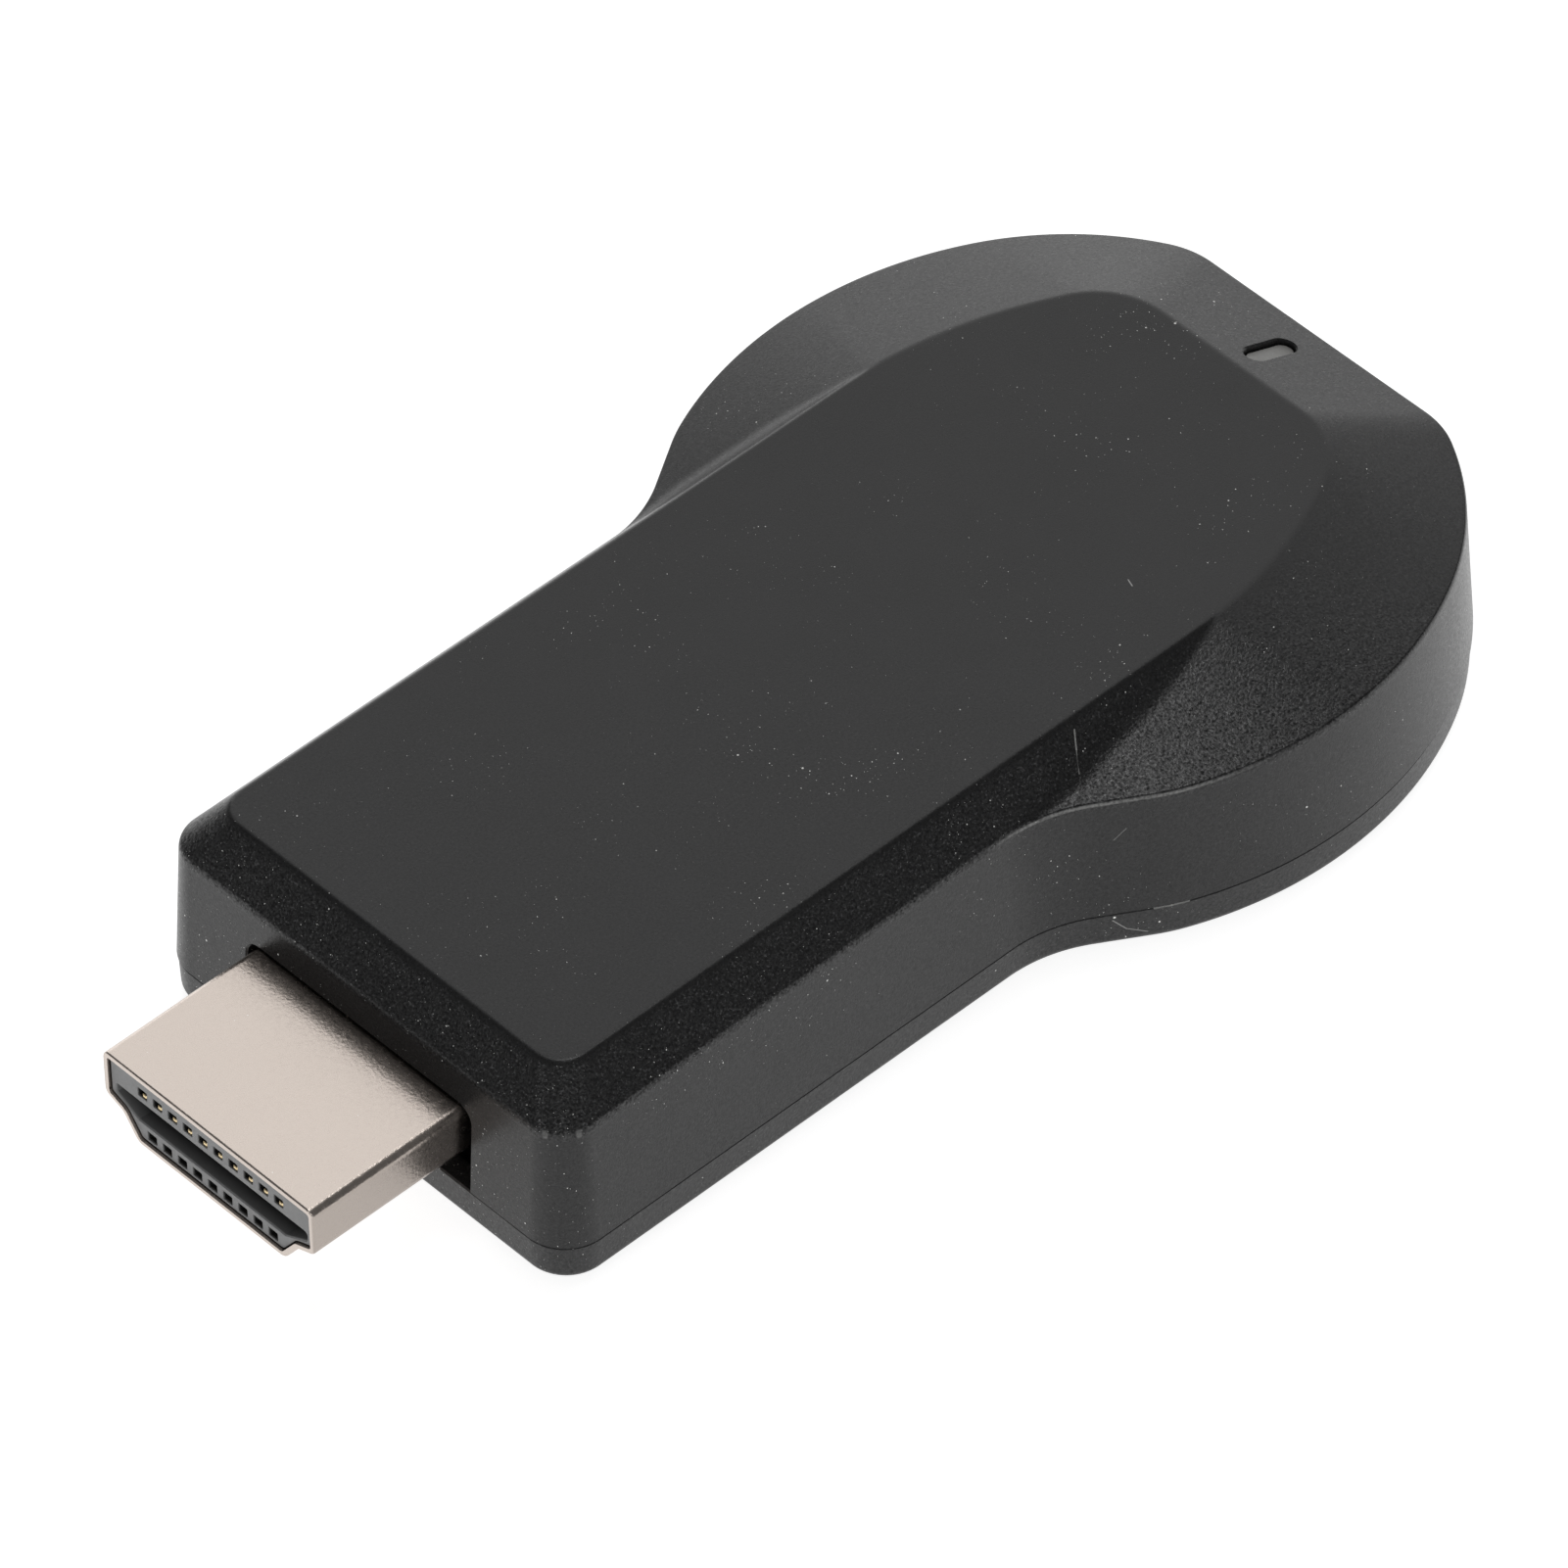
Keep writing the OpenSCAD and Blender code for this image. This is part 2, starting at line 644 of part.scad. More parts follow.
// Board: the housing's outline moved in, cut back for the plug, the button and the power socket
module main_board() {
    color("darkgreen") difference() {
        translate([0, 0, board_z0]) linear_extrude(board_t) polygon(closed(outline_half(board_inset)));
        translate([neck_x, -plug_w / 2 - ear_slack, board_z0 - over])
            cube([board_front - neck_x, plug_w + 2 * ear_slack, board_t + 2 * over]);
        translate([head_x, flange_y0 - flange_gap - button_travel, board_z0 - over])
            translate([-flange_half - flange_gap, 0, 0])
                cube([2 * (flange_half + flange_gap), head_w / 2, board_t + 2 * over]);
        translate([socket_back - socket_notch, -socket_w / 2 - socket_notch, board_z0 - over])
            cube([socket_l + wall, socket_w + 2 * socket_notch, board_t + 2 * over]);
        for (p = post_places) translate([p.x, p.y, board_z0 - over])
            cylinder(h = board_t + 2 * over, r = pin_r + 2 * pin_gap);
    }
}

// Half of the plug's section with sharp corners, as [y, z] points about its middle
plug_half_path =
    let (w = plug_w / 2, t = plug_h / 2, s = t - plug_side_h)
    [[0, t], [w, t], [w, s], [w - plug_shelf, s - plug_shelf_drop], [plug_base_w / 2, -t], [0, -t]];

// Unit vector into the section from the edge that runs from a to b
function inward(a, b) = [b.y - a.y, a.x - b.x] / norm(b - a);

// Section of the plug, moved in by d, with its corners filleted
function plug_section(d) =
    let (p = plug_half_path, ends = [0, plug_h / 2 - d],
         moved = [for (i = [1:4]) let (m = inward(p[i - 1], p[i]), n = inward(p[i], p[i + 1]))
             p[i] + (m + n) * d / (1 + m * n)],
         path = concat([ends], moved, [-ends]),
         r = [plug_top_round - d, plug_side_round - d, plug_knee_round + d, plug_base_round - d],
         half = [for (i = [1:4]) each fillet(path[i - 1], path[i], path[i + 1], r[i - 1], 4)])
    concat(half, [for (i = [len(half) - 1:-1:0]) [-half[i].x, half[i].y]]);

// The plug's section, pushed l along X from x
module plug_bar(x, l, d) {
    translate([x, 0, plug_z]) rotate([90, 0, 90]) linear_extrude(l) polygon(plug_section(d));
}

// Folded metal tube of the plug with its two solder tabs
module plug_shell() {
    color([0.8, 0.77, 0.73]) {
        difference() {
            plug_bar(mouth_x, plug_l, 0);
            plug_bar(mouth_x - over, plug_l + 2 * over, plug_t);
        }
        for (s = [-1, 1]) translate([mouth_x + tab_place, s * (plug_w / 2 - plug_t), board_z1])
            translate([0, min(s, 0) * (tab_out + plug_t), 0]) cube([tab_l, tab_out + plug_t, plug_t]);
    }
}

function upper_y(i) = (i - (plug_pins - 1) / 2) * plug_pitch;
function lower_y(i) = (i - (plug_pins - 2) / 2) * plug_pitch;

// Moulded block in the plug, with the slot for the socket's tongue and a hole for each contact
module plug_insulator() {
    half = plug_w / 2 - plug_t - slot_margin;
    slot = [[-half, -slot_top], [half, -slot_top], [half, -slot_top - slot_side],
        [half - slot_slant, -slot_bottom], [slot_slant - half, -slot_bottom], [-half, -slot_top - slot_side]];
    face = mouth_x + face_recess;
    color("gray") difference() {
        plug_bar(face, plug_end - face, plug_t + plug_slack);
        translate([face - over, 0, plug_top]) rotate([90, 0, 90]) linear_extrude(slot_depth + over)
            polygon(slot);
        for (i = [0:plug_pins - 1]) contact_hole(upper_y(i), upper_hole);
        for (i = [0:plug_pins - 2]) contact_hole(lower_y(i), lower_hole);
    }
}

// Hole of one contact, its middle drop below the plug's top
module contact_hole(y, drop) {
    translate([mouth_x, y - hole_w / 2, plug_top - drop - hole_h / 2])
        cube([plug_l + over, hole_w, hole_h]);
}

// One spring contact: a strip through its hole and a tail on the board's face
module plug_contact(z, board_face, up) {
    x0 = mouth_x + face_recess + contact_recess;
    tail = board_face - up * contact_t / 2;
    step = plug_end + board_gap;
    translate([0, contact_w / 2, 0]) rotate([90, 0, 0]) linear_extrude(contact_w) {
        translate([x0, z - contact_t / 2]) square([step - x0, contact_t]);
        translate([step - contact_t, min(z, tail) - contact_t / 2])
            square([contact_t, abs(z - tail) + contact_t]);
        translate([step - contact_t, tail - contact_t / 2]) square([tail_l, contact_t]);
    }
}

module plug_contacts_upper() {
    z = plug_top - upper_hole - hole_h / 2 + contact_t;
    color("gold") for (i = [0:plug_pins - 1]) translate([0, upper_y(i), 0])
        plug_contact(z, board_z1, -1);
}

module plug_contacts_lower() {
    z = plug_top - lower_hole + hole_h / 2 - contact_t;
    color("gold") for (i = [0:plug_pins - 2]) translate([0, lower_y(i), 0])
        plug_contact(z, board_z0, 1);
}

// Main chip: a square laminate with a smaller moulded cap
module processor() {
    color("black") from_neck(processor_from_neck) {
        slab([processor_w, processor_w, processor_h - processor_cap]);
        translate([0, 0, processor_h - processor_cap])
            slab([processor_w - processor_cap, processor_w - processor_cap, processor_cap]);
    }
}

module thermal_pad() {
    color("lightblue") from_neck(processor_from_neck) translate([0, 0, processor_h])
        slab([processor_w, processor_w, pad_t]);
}

// Low finned aluminium plate on the pad
module heat_sink() {
    pitch = (sink_w - sink_fin_t) / (sink_fins - 1);
    color("silver") from_neck(processor_from_neck) translate([0, 0, processor_h + pad_t]) {
        slab([sink_l, sink_w, sink_base]);
        for (i = [0:sink_fins - 1])
            translate([-sink_l / 2, i * pitch - sink_w / 2, 0])
                cube([sink_l, sink_fin_t, sink_base + sink_fin_h]);
    }
}

module memory_chip() {
    color("black") under_head(memory_from_head) slab([memory_l, memory_w, memory_h]);
}

// One leg of a chip: a foot on the board and a riser to the body, standing out along Y
module chip_leg(h, side) {
    mirror([0, side < 0 ? 1 : 0, 0]) translate([-leg_w / 2, 0, 0]) {
        cube([leg_w, leg_out, leg_t]);
        cube([leg_w, leg_t, h]);
    }
}

// Eight-leg flash memory
module flash_chip() {
    color("black") under_head(flash_from_head) {
        translate([0, 0, leg_t / 2]) slab([flash_l, flash_w, flash_h - leg_t / 2]);
        for (s = [-1, 1]) for (i = [0:flash_legs - 1])
            translate([(i - (flash_legs - 1) / 2) * flash_pitch, s * flash_w / 2, 0])
                chip_leg(flash_h / 2, s);
    }
}

// Radio module: its own small board
module wireless_board() {
    color("darkgreen") from_edge(radio_from_edge) slab([radio_l, radio_w, radio_t]);
}

// Pressed can over the radio chip, open below
module wireless_shield() {
    color("silver") from_edge(radio_from_edge) translate([0, 0, radio_t]) difference() {
        rounded_slab([can_l, can_w, can_h], can_round);
        translate([0, 0, -over]) slab([can_l - 2 * can_t, can_w - 2 * can_t, can_h - can_t + over]);
    }
}

// A slab with round upright edges
module rounded_slab(size, r) {
    linear_extrude(size.z) {
        square([size.x - 2 * r, size.y], center = true);
        square([size.x, size.y - 2 * r], center = true);
        for (x = [-1, 1]) for (y = [-1, 1])
            translate([x * (size.x / 2 - r), y * (size.y / 2 - r)]) circle(r = r);
    }
}

// Ceramic aerial with its two soldered ends
module chip_antenna() {
    color("white") from_edge(antenna_from_edge) {
        slab([antenna_l - 2 * antenna_cap, antenna_w, antenna_h]);
        for (s = [-1, 1]) translate([s * (antenna_l - antenna_cap) / 2, 0, 0])
            slab([antenna_cap, antenna_w + leg_t, antenna_h + leg_t / 2]);
    }
}

module crystal() {
    color("silver") from_neck(crystal_from_neck) {
        slab([crystal_l, crystal_w, crystal_h - crystal_lid]);
        translate([0, 0, crystal_h - crystal_lid])
            rounded_slab([crystal_l - crystal_lid, crystal_w - crystal_lid, crystal_lid], crystal_lid);
    }
}

// Wound coil between two square ferrite plates
module power_inductor() {
    color("dimgray") from_head(coil_from_head) {
        slab([coil_w, coil_w, coil_plate]);
        cylinder(h = coil_h, r = coil_core_r);
        translate([0, 0, coil_h - coil_plate]) slab([coil_w, coil_w, coil_plate]);
    }
}

module voltage_regulator() {
    color("black") from_head(regulator_from_head) {
        translate([0, 0, leg_t / 2]) slab([regulator_l, regulator_w, regulator_h - leg_t / 2]);
        for (i = [-1, 0, 1]) translate([i * regulator_pitch, -regulator_w / 2, 0])
            chip_leg(regulator_h / 2, -1);
        for (i = [-1, 1]) translate([i * regulator_pitch, regulator_w / 2, 0])
            chip_leg(regulator_h / 2, 1);
    }
}

module chip_capacitors() {
    color("tan") {
        for (i = [0:capacitor_n - 1])
            from_neck(capacitor_from_neck + [0, i * capacitor_pitch]) slab(capacitor);
        for (i = [0, 1]) from_head(bulk_from_head + [0, i * bulk_pitch]) slab(bulk_capacitor);
    }
}

module chip_resistors() {
    color("black") {
        for (i = [0:resistor_n - 1])
            from_head(resistor_from_head + [0, i * resistor_pitch]) slab(resistor);
        translate([led_x, -led_w / 2 - led_resistor_gap, board_z1]) slab(resistor);
    }
}

module status_led() {
    color("white") translate([led_x, 0, board_z1]) {
        slab([led_l, led_w, led_h / 2]);
        translate([0, 0, led_h / 2]) slab([led_l * 2 / 3, led_w, led_h / 2]);
    }
}

// Section of the power socket, moved in by d: a bar with its two lower corners cut off
function socket_section(d) =
    let (w = socket_w / 2 - d, b = socket_bevel - d / 2)
    [[-w, b + d], [-w + b, d], [w - b, d], [w, b + d], [w, socket_h - d], [-w, socket_h - d]];

// Folded metal shell of the power socket, with two tabs that lie on the board
module socket_shell() {
    color("silver") translate([socket_back, 0, board_z0]) {
        rotate([90, 0, 90]) linear_extrude(socket_l) difference() {
            polygon(socket_section(0));
            polygon(socket_section(socket_t));
        }
        for (s = [-1, 1]) translate([socket_notch, s * (socket_w / 2 - socket_t), board_t])
            translate([0, min(s, 0) * (socket_t + socket_tab_w), 0])
                cube([socket_tab_l, socket_t + socket_tab_w, socket_t]);
    }
}

// Moulded rear block and tongue of the power socket, with a channel for each contact
module socket_insulator() {
    d = socket_t + socket_slack;
    color([0.1, 0.1, 0.1]) translate([socket_back, 0, board_z0]) difference() {
        union() {
            rotate([90, 0, 90]) linear_extrude(socket_rear_t) polygon(socket_section(d));
            translate([0, -tongue_w / 2, tongue_z]) cube([socket_l - tongue_tip, tongue_w, tongue_t]);
        }
        for (i = [0:socket_pins - 1])
            translate([-over, socket_y(i) - socket_contact_w / 2, tongue_z - socket_contact_t])
                cube([socket_rear_t + 2 * over, socket_contact_w, socket_contact_t]);
    }
}

function socket_y(i) = (i - (socket_pins - 1) / 2) * socket_pitch;

// Contacts under the tongue, each led through the rear block to a tail on top of the board
module socket_contacts() {
    t = socket_contact_t;
    low = min(tongue_z - t, board_t);
    color("gold") for (i = [0:socket_pins - 1])
        translate([socket_back, socket_y(i) + socket_contact_w / 2, board_z0])
            rotate([90, 0, 0]) linear_extrude(socket_contact_w) {
                translate([-t, tongue_z - t]) square([socket_l - tongue_tip, t]);
                translate([-t, low]) square([t, max(tongue_z, board_t + t) - low]);
                translate([-socket_tail, board_t]) square([socket_tail, t]);
            }
}

// Moulded base of the side switch, open towards the button
module switch_base() {
    color("black") difference() {
        translate([head_x, (base_y0 + base_y1) / 2, board_z1]) slab([switch_w, switch_d, switch_h]);
        translate([head_x, base_y1 - switch_cavity_d, button_z]) rotate([-90, 0, 0])
            stadium(switch_cavity_w, switch_h - 2 * switch_wall, switch_cavity_d + over);
    }
}

// Pressed cover over the top and the front of the switch, with the plunger's window
module switch_cover() {
    color("silver") difference() {
        union() {
            translate([head_x, base_y1 - cover_lap / 2, board_z1 + switch_h])
                slab([switch_w, cover_lap, cover_t]);
            translate([head_x, base_y1 + cover_t / 2, board_z1])
                slab([switch_w, cover_t, switch_h + cover_t]);
        }
        translate([head_x, base_y1 + cover_t / 2, button_z - stem_h / 2 - stem_slack])
            slab([stem_w + 2 * stem_slack, cover_t + over, stem_h + 2 * stem_slack]);
    }
}

// Snap dome at the bottom of the cavity, drawn as it is when pressed flat
module switch_dome() {
    r = (pow(dome_w / 2, 2) + pow(dome_rise, 2)) / (2 * dome_rise);
    back = base_y1 - switch_cavity_d;
    color("silver") intersection() {
        translate([head_x, back + dome_rise - r, button_z - stem_h / 2]) difference() {
            cylinder(h = stem_h, r = r);
            translate([0, 0, -over]) cylinder(h = stem_h + 2 * over, r = r - dome_t);
        }
        translate([head_x - dome_w / 2, back, button_z - stem_h / 2]) cube([dome_w, dome_rise, stem_h]);
    }
}

// Plunger: a head kept behind the cover and a stem that reaches the button
module switch_plunger() {
    head_y = base_y1 - switch_cavity_d + dome_rise + dome_clear + button_travel;
    color("ivory") {
        translate([head_x, head_y + head_t / 2, button_z - stem_h / 2])
            slab([stem_w + 2 * head_t, head_t, stem_h]);
        translate([head_x, (head_y + flange_y0) / 2, button_z - stem_h / 2])
            slab([stem_w, flange_y0 - head_y, stem_h]);
    }
}

// Button cap: a slot-shaped key with a flange that the wall holds in
module mode_button() {
    color([0.22, 0.22, 0.22]) translate([head_x, 0, button_z]) rotate([-90, 0, 0]) {
        translate([0, 0, flange_y0]) stadium(2 * flange_half, button_h + flange_lap, flange_t);
        translate([0, 0, flange_y0]) stadium(button_l, button_h, button_face - flange_y0);
    }
}

upper_housing();
lower_housing();
light_pipe();
main_board();
plug_shell();
plug_insulator();
plug_contacts_upper();
plug_contacts_lower();
processor();
thermal_pad();
heat_sink();
memory_chip();
flash_chip();
wireless_board();
wireless_shield();
chip_antenna();
crystal();
power_inductor();
voltage_regulator();
chip_capacitors();
chip_resistors();
status_led();
socket_shell();
socket_insulator();
socket_contacts();
switch_base();
switch_cover();
switch_dome();
switch_plunger();
mode_button();
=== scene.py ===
"""Looks of the wireless display dongle: fine housing shells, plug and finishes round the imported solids.

Shapes are worked out in millimetres, from the same driving sizes as the solids, and turned into
metres where a mesh is made.
"""
import json
import math

import bmesh
import bpy
import numpy as np
from mathutils import Matrix


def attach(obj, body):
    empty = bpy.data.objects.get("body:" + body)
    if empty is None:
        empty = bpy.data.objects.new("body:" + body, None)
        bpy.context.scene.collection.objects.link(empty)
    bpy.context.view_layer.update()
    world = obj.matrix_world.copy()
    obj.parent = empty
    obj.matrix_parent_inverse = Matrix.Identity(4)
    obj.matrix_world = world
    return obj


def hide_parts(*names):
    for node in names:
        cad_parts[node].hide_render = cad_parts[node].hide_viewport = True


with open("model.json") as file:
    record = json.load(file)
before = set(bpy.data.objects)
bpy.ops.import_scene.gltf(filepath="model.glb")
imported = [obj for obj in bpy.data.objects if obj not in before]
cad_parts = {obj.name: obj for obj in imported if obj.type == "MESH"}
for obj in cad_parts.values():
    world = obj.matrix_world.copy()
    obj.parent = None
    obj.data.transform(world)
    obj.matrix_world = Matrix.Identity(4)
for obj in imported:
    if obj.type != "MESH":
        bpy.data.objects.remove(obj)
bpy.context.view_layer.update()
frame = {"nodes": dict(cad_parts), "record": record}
MM = 0.001

# Driving sizes of the housing's outline
total_l = 69.4
total_h = 11.3
head_w = 37.1
neck_w = 27
plug_out = 8.7
side_r = 20.9
front_r = 16.7
end_corner_r = 5
lead_r = 10.4
waist_r = 7.6
neck_corner_r = 2.3
side_turn = 28
front_turn = 33
lead_turn = 23
flank_turn = 32

# Housing shells
seam_z = 2.1
top_rise = 2.25
wall = 1.2
wall_draft = math.tan(math.radians(3.4))
rim_round = 0.32
rim_reach = 0.12
base_round = 0.5
base_taper = 0.12
seam_bevel = 0.08
lip_t = 0.55
lip_h = 0.9
lip_gap = 0.08
lip_corner_r = 0.1
crease_soft = 0.8
crease_grow = 0.3
edge_soft = 0.18
inner_rim_drop = wall * 3 / 4
inner_plateau_inset = wall * 2 / 5
inner_crease_low = 1 / 3
inner_crease_high = 7 / 8

# Plateau
plateau_w = 22.6
plateau_near = 2.15
plateau_far = 6.1
plateau_flat = 9.3
plateau_corner_r = 1.65
plateau_end_r = 4.2
taper_r = 25
taper_turn = 26
merge_l = 15

# Plug
plug_w = 13.9
plug_h = 4.45
plug_under_gap = 0.375
plug_l = 13.4
plug_t = 0.3
plug_side_h = 2.7
plug_base_w = 9.7
plug_pins = 10
plug_side_gap = 0.4
plug_top_gap = 0.12
notch_round = 0.8
plug_top_round = 0.45
plug_side_round = 0.5
plug_knee_round = 0.4
plug_base_round = 0.6
plug_shelf = 1.15
plug_shelf_drop = 0.45
plug_slack = 0.06
mouth_round = 0.11
mouth_inner_round = 0.03
tab_out = 1.3
tab_l = 1.8
tab_place = 10.6

# The plug's block with its slot and holes, and the ends of its upper contacts
face_recess = 0.14
block_round = 0.06
slot_depth = 6.5
slot_top = 1.8
slot_bottom = 3.05
slot_side = 0.5
slot_margin = 0.35
slot_slant = 1.45
slot_round = 0.15
hole_w = 0.6
hole_h = 0.5
hole_round = 0.05
upper_hole = 1.15
lower_hole = 3.65
tip_w = 0.26
tip_h = 0.2
tip_round = 0.05
tip_edge_w = 0.04
tip_edge_l = 0.03
tip_recess = 0.05
tip_l = 0.3
tip_shift = 0.1
tip_drop = 0.12

# Openings for the power socket, the light and the button
opening_round = 0.09
opening_deep = 3
opening_proud = 1
board_t = 1
socket_w = 7.5
socket_h = 2.5
socket_gap = 0.25
socket_lead = 0.35
socket_round = 0.5
socket_deep = 4
socket_step = 0.001
window_l = 2.7
window_w = 0.9
window_back = 3.6
window_gap = 0.1
window_deep = 2.4
button_l = 4.6
button_h = 1.9
button_gap = 0.12
button_rise = 0.9

# Just under 1, so that no two points meet in the middle of a pill's round end
pill_share = 0.999

# Camera, solved from the photograph: where it looks from in degrees and millimetres, its lens on a
# 36 mm film, and how near and far it sees in metres
view_azimuth = 227.5
view_elevation = 45.65
view_roll = -1.3
view_distance = 625.127
view_aim = (25.274, 20.111)
view_offset = 34.7
view_lens = 323.99
view_film = 36
view_clip = (0.01, 20)

# Points on each stretch of the outlines: the solids' own counts, times a share for smoothness
fine = 6
face_n = 8
corner_n = 4 * fine
neck_n = 4 * fine
waist_n = 4 * fine
flank_n = fine
lead_n = 2 * fine
side_n = 5 * fine
front_n = 6 * fine
bar_n = waist_n + flank_n + lead_n + side_n
neck_last = face_n + corner_n + neck_n
lead_first = neck_last + waist_n + flank_n

# Points on the rounds, and rings over the slope
round_n = 6
slot_round_n = 3
rim_n = 10
base_n = 8
slope_n = 33

# Distances from the plateau's edge of the rings that keep it soft, inside it and outside it
edge_steps = (0.06, 0.13, 0.19, 0.26, 0.34, 0.45)
inside_steps = (*edge_steps, 0.6)
outside_steps = (0, *edge_steps, 0.56)
slope_start = 0.7

# Turn in degrees past which an edge is shown sharp
sharp_turn = 30

# Clean-up and bevel of the solids that are shown as they are: lengths, and turns in degrees
weld_gap = 0.002
flat_turn = 1
fine_bevel = 0.06
bevel_turn = 40

# Studio: half the floor's side, the strength of its own light and that of the surroundings
floor_half = 3000
floor_glow = 0.86
world_glow = 0.12


def toward(degrees):
    return np.array([math.cos(math.radians(degrees)), math.sin(math.radians(degrees))])


def arc(centre, r, start, stop, n):
    angles = np.radians(np.linspace(start, stop, n + 1)[1:])
    return np.asarray(centre) + r * np.column_stack([np.cos(angles), np.sin(angles)])


def line(start, stop, n):
    share = np.arange(1, n + 1)[:, None] / n
    return np.asarray(start) + (np.asarray(stop) - np.asarray(start)) * share


# Places along X, and centres of the outline's arcs
mouth_x = -total_l / 2
end_x = total_l / 2
neck_x = mouth_x + plug_out
face_x = mouth_x + face_recess
side_end = 90 - side_turn
front_end = side_end - front_turn
head_x = (end_x - side_r * toward(side_end)[0] - front_r * (toward(front_end)[0] - toward(side_end)[0])
          - end_corner_r * (1 - toward(front_end)[0]))
side_c = np.array([head_x, head_w / 2 - side_r])
front_c = side_c + (side_r - front_r) * toward(side_end)
end_c = front_c + (front_r - end_corner_r) * toward(front_end)
lead_c = side_c + (side_r - lead_r) * toward(90 + lead_turn)
flank_top = lead_c + lead_r * toward(90 + flank_turn)
flank_low_y = neck_w / 2 + waist_r * (1 - toward(flank_turn)[0])
flank_low_x = flank_top[0] - (flank_top[1] - flank_low_y) / math.tan(math.radians(flank_turn))
waist_x = flank_low_x - waist_r * toward(flank_turn)[1]
waist_c = np.array([waist_x, neck_w / 2 + waist_r])
corner_c = np.array([neck_x + neck_corner_r, neck_w / 2 - neck_corner_r])

# Places of the plateau
plateau_x0 = neck_x + plateau_near
plateau_x1 = end_x - plateau_far
plateau_near_c = np.array([plateau_x0 + plateau_corner_r, plateau_w / 2 - plateau_corner_r])
plateau_end_c = np.array([plateau_x1 - plateau_end_r, plateau_flat / 2])
taper_end = plateau_end_c + plateau_end_r * toward(90 - taper_turn)
taper_vertex_x = taper_end[0] - (plateau_w / 2 - taper_end[1]) / math.tan(math.radians(taper_turn))
taper_start_x = taper_vertex_x - taper_r * math.tan(math.radians(taper_turn / 2))
taper_c = np.array([taper_start_x, plateau_w / 2 - taper_r])

# Heights and slopes
rim_z = total_h - top_rise
rim_inset = (rim_z - seam_z) * wall_draft
chamfer_slope = top_rise / (neck_w / 2 - rim_inset - plateau_w / 2)
end_slope = top_rise / (plateau_far - rim_inset)
ceiling_z = total_h - wall
notch_w = plug_w + 2 * plug_side_gap
plug_z = seam_z + plug_under_gap + plug_h / 2
plug_top = plug_z + plug_h / 2
plug_end = mouth_x + plug_l
board_z0 = plug_z - board_t / 2
button_z = board_z0 + board_t + button_rise
window_x = end_x - window_back


def outline_half(d):
    """Half of the housing's outline, moved in by d, from the middle of the neck's end to the flat end's."""
    face = line([neck_x + d, 0], corner_c + (neck_corner_r - d) * toward(180), face_n)
    corner = arc(corner_c, neck_corner_r - d, 180, 90, corner_n)
    waist = arc(waist_c, waist_r + d, -90, flank_turn - 90, waist_n)
    flank = line(waist[-1], lead_c + (lead_r - d) * toward(90 + flank_turn), flank_n)
    end_corner = arc(end_c, end_corner_r - d, front_end, 0, corner_n)
    return np.vstack([
        [[neck_x + d, 0]], face, corner, line(corner[-1], [waist_x, neck_w / 2 - d], neck_n), waist, flank,
        arc(lead_c, lead_r - d, 90 + flank_turn, 90 + lead_turn, lead_n),
        arc(side_c, side_r - d, 90 + lead_turn, 90, side_n),
        arc(side_c, side_r - d, 90, side_end, side_n),
        arc(front_c, front_r - d, side_end, front_end, front_n),
        end_corner, line(end_corner[-1], [end_x - d, 0], face_n)])


def plateau_half(d):
    """Half of the plateau's outline, moved in by d, point for point beside outline_half."""
    y = plateau_w / 2 - d
    face = line([plateau_x0 + d, 0], plateau_near_c + (plateau_corner_r - d) * toward(180), face_n)
    corner = arc(plateau_near_c, plateau_corner_r - d, 180, 90, corner_n)
    taper = arc(taper_c, taper_r - d, 90, 90 - taper_turn, side_n - fine)
    end_start = plateau_end_c + (plateau_end_r - d) * toward(90 - taper_turn)
    end_middle = (90 - taper_turn) * front_end / side_end
    end_corner = arc(plateau_end_c, plateau_end_r - d, end_middle, 0, corner_n)
    return np.vstack([
        [[plateau_x0 + d, 0]], face, corner, line(corner[-1], [waist_x, y], neck_n),
        line([waist_x, y], [taper_c[0], y], bar_n), taper, line(taper[-1], end_start, fine),
        arc(plateau_end_c, plateau_end_r - d, 90 - taper_turn, end_middle, front_n),
        end_corner, line(end_corner[-1], [plateau_x1 - d, 0], face_n)])


def lifted(half, z):
    return np.column_stack([half, np.broadcast_to(z, len(half))])


def smooth_max(a, b, k):
    """The larger of a and b, rounded where they come closer than k, which may be 0."""
    tiny = 1e-9
    near = np.clip(1 - np.abs(a - b) / np.maximum(k, tiny), 0, 1)
    return np.maximum(a, b) + near ** 2 * k / 4


# The top's slope, point for point: how far the shoulder has merged, and where it crosses the chamfer
rim = outline_half(rim_inset)
plateau = plateau_half(0)
span = np.linalg.norm(plateau - rim, axis=1)
past_neck = np.arange(len(rim)) > neck_last
merge = np.clip((plateau[:, 0] - waist_x) / merge_l, 0, 1) * past_neck
shoulder_top = rim_z + top_rise * merge
chamfer_low = np.where(past_neck, total_h - chamfer_slope * (rim[:, 1] - plateau_w / 2), rim_z)
chamfer_low = np.minimum(chamfer_low, rim_z)
crease = np.where(merge < 1, (rim_z - chamfer_low) / (total_h - chamfer_low - shoulder_top + rim_z), 1)


def slope_z(t):
    """Height of the sloping top a share t of the way from rim to plateau, with its crease softened."""
    shoulder = rim_z + (shoulder_top - rim_z) * t
    chamfer = chamfer_low + (total_h - chamfer_low) * t
    soft = np.minimum(crease_soft * np.clip(merge / crease_grow, 0, 1), top_rise * (1 - merge))
    blended = smooth_max(shoulder, chamfer, soft)
    return np.where(past_neck, blended, rim_z + top_rise * t)


# How steeply the slope reaches the plateau's edge, from the last hundredth of it
last_share = 0.01
edge_rise = (slope_z(1) - slope_z(1 - last_share)) / (last_share * span)


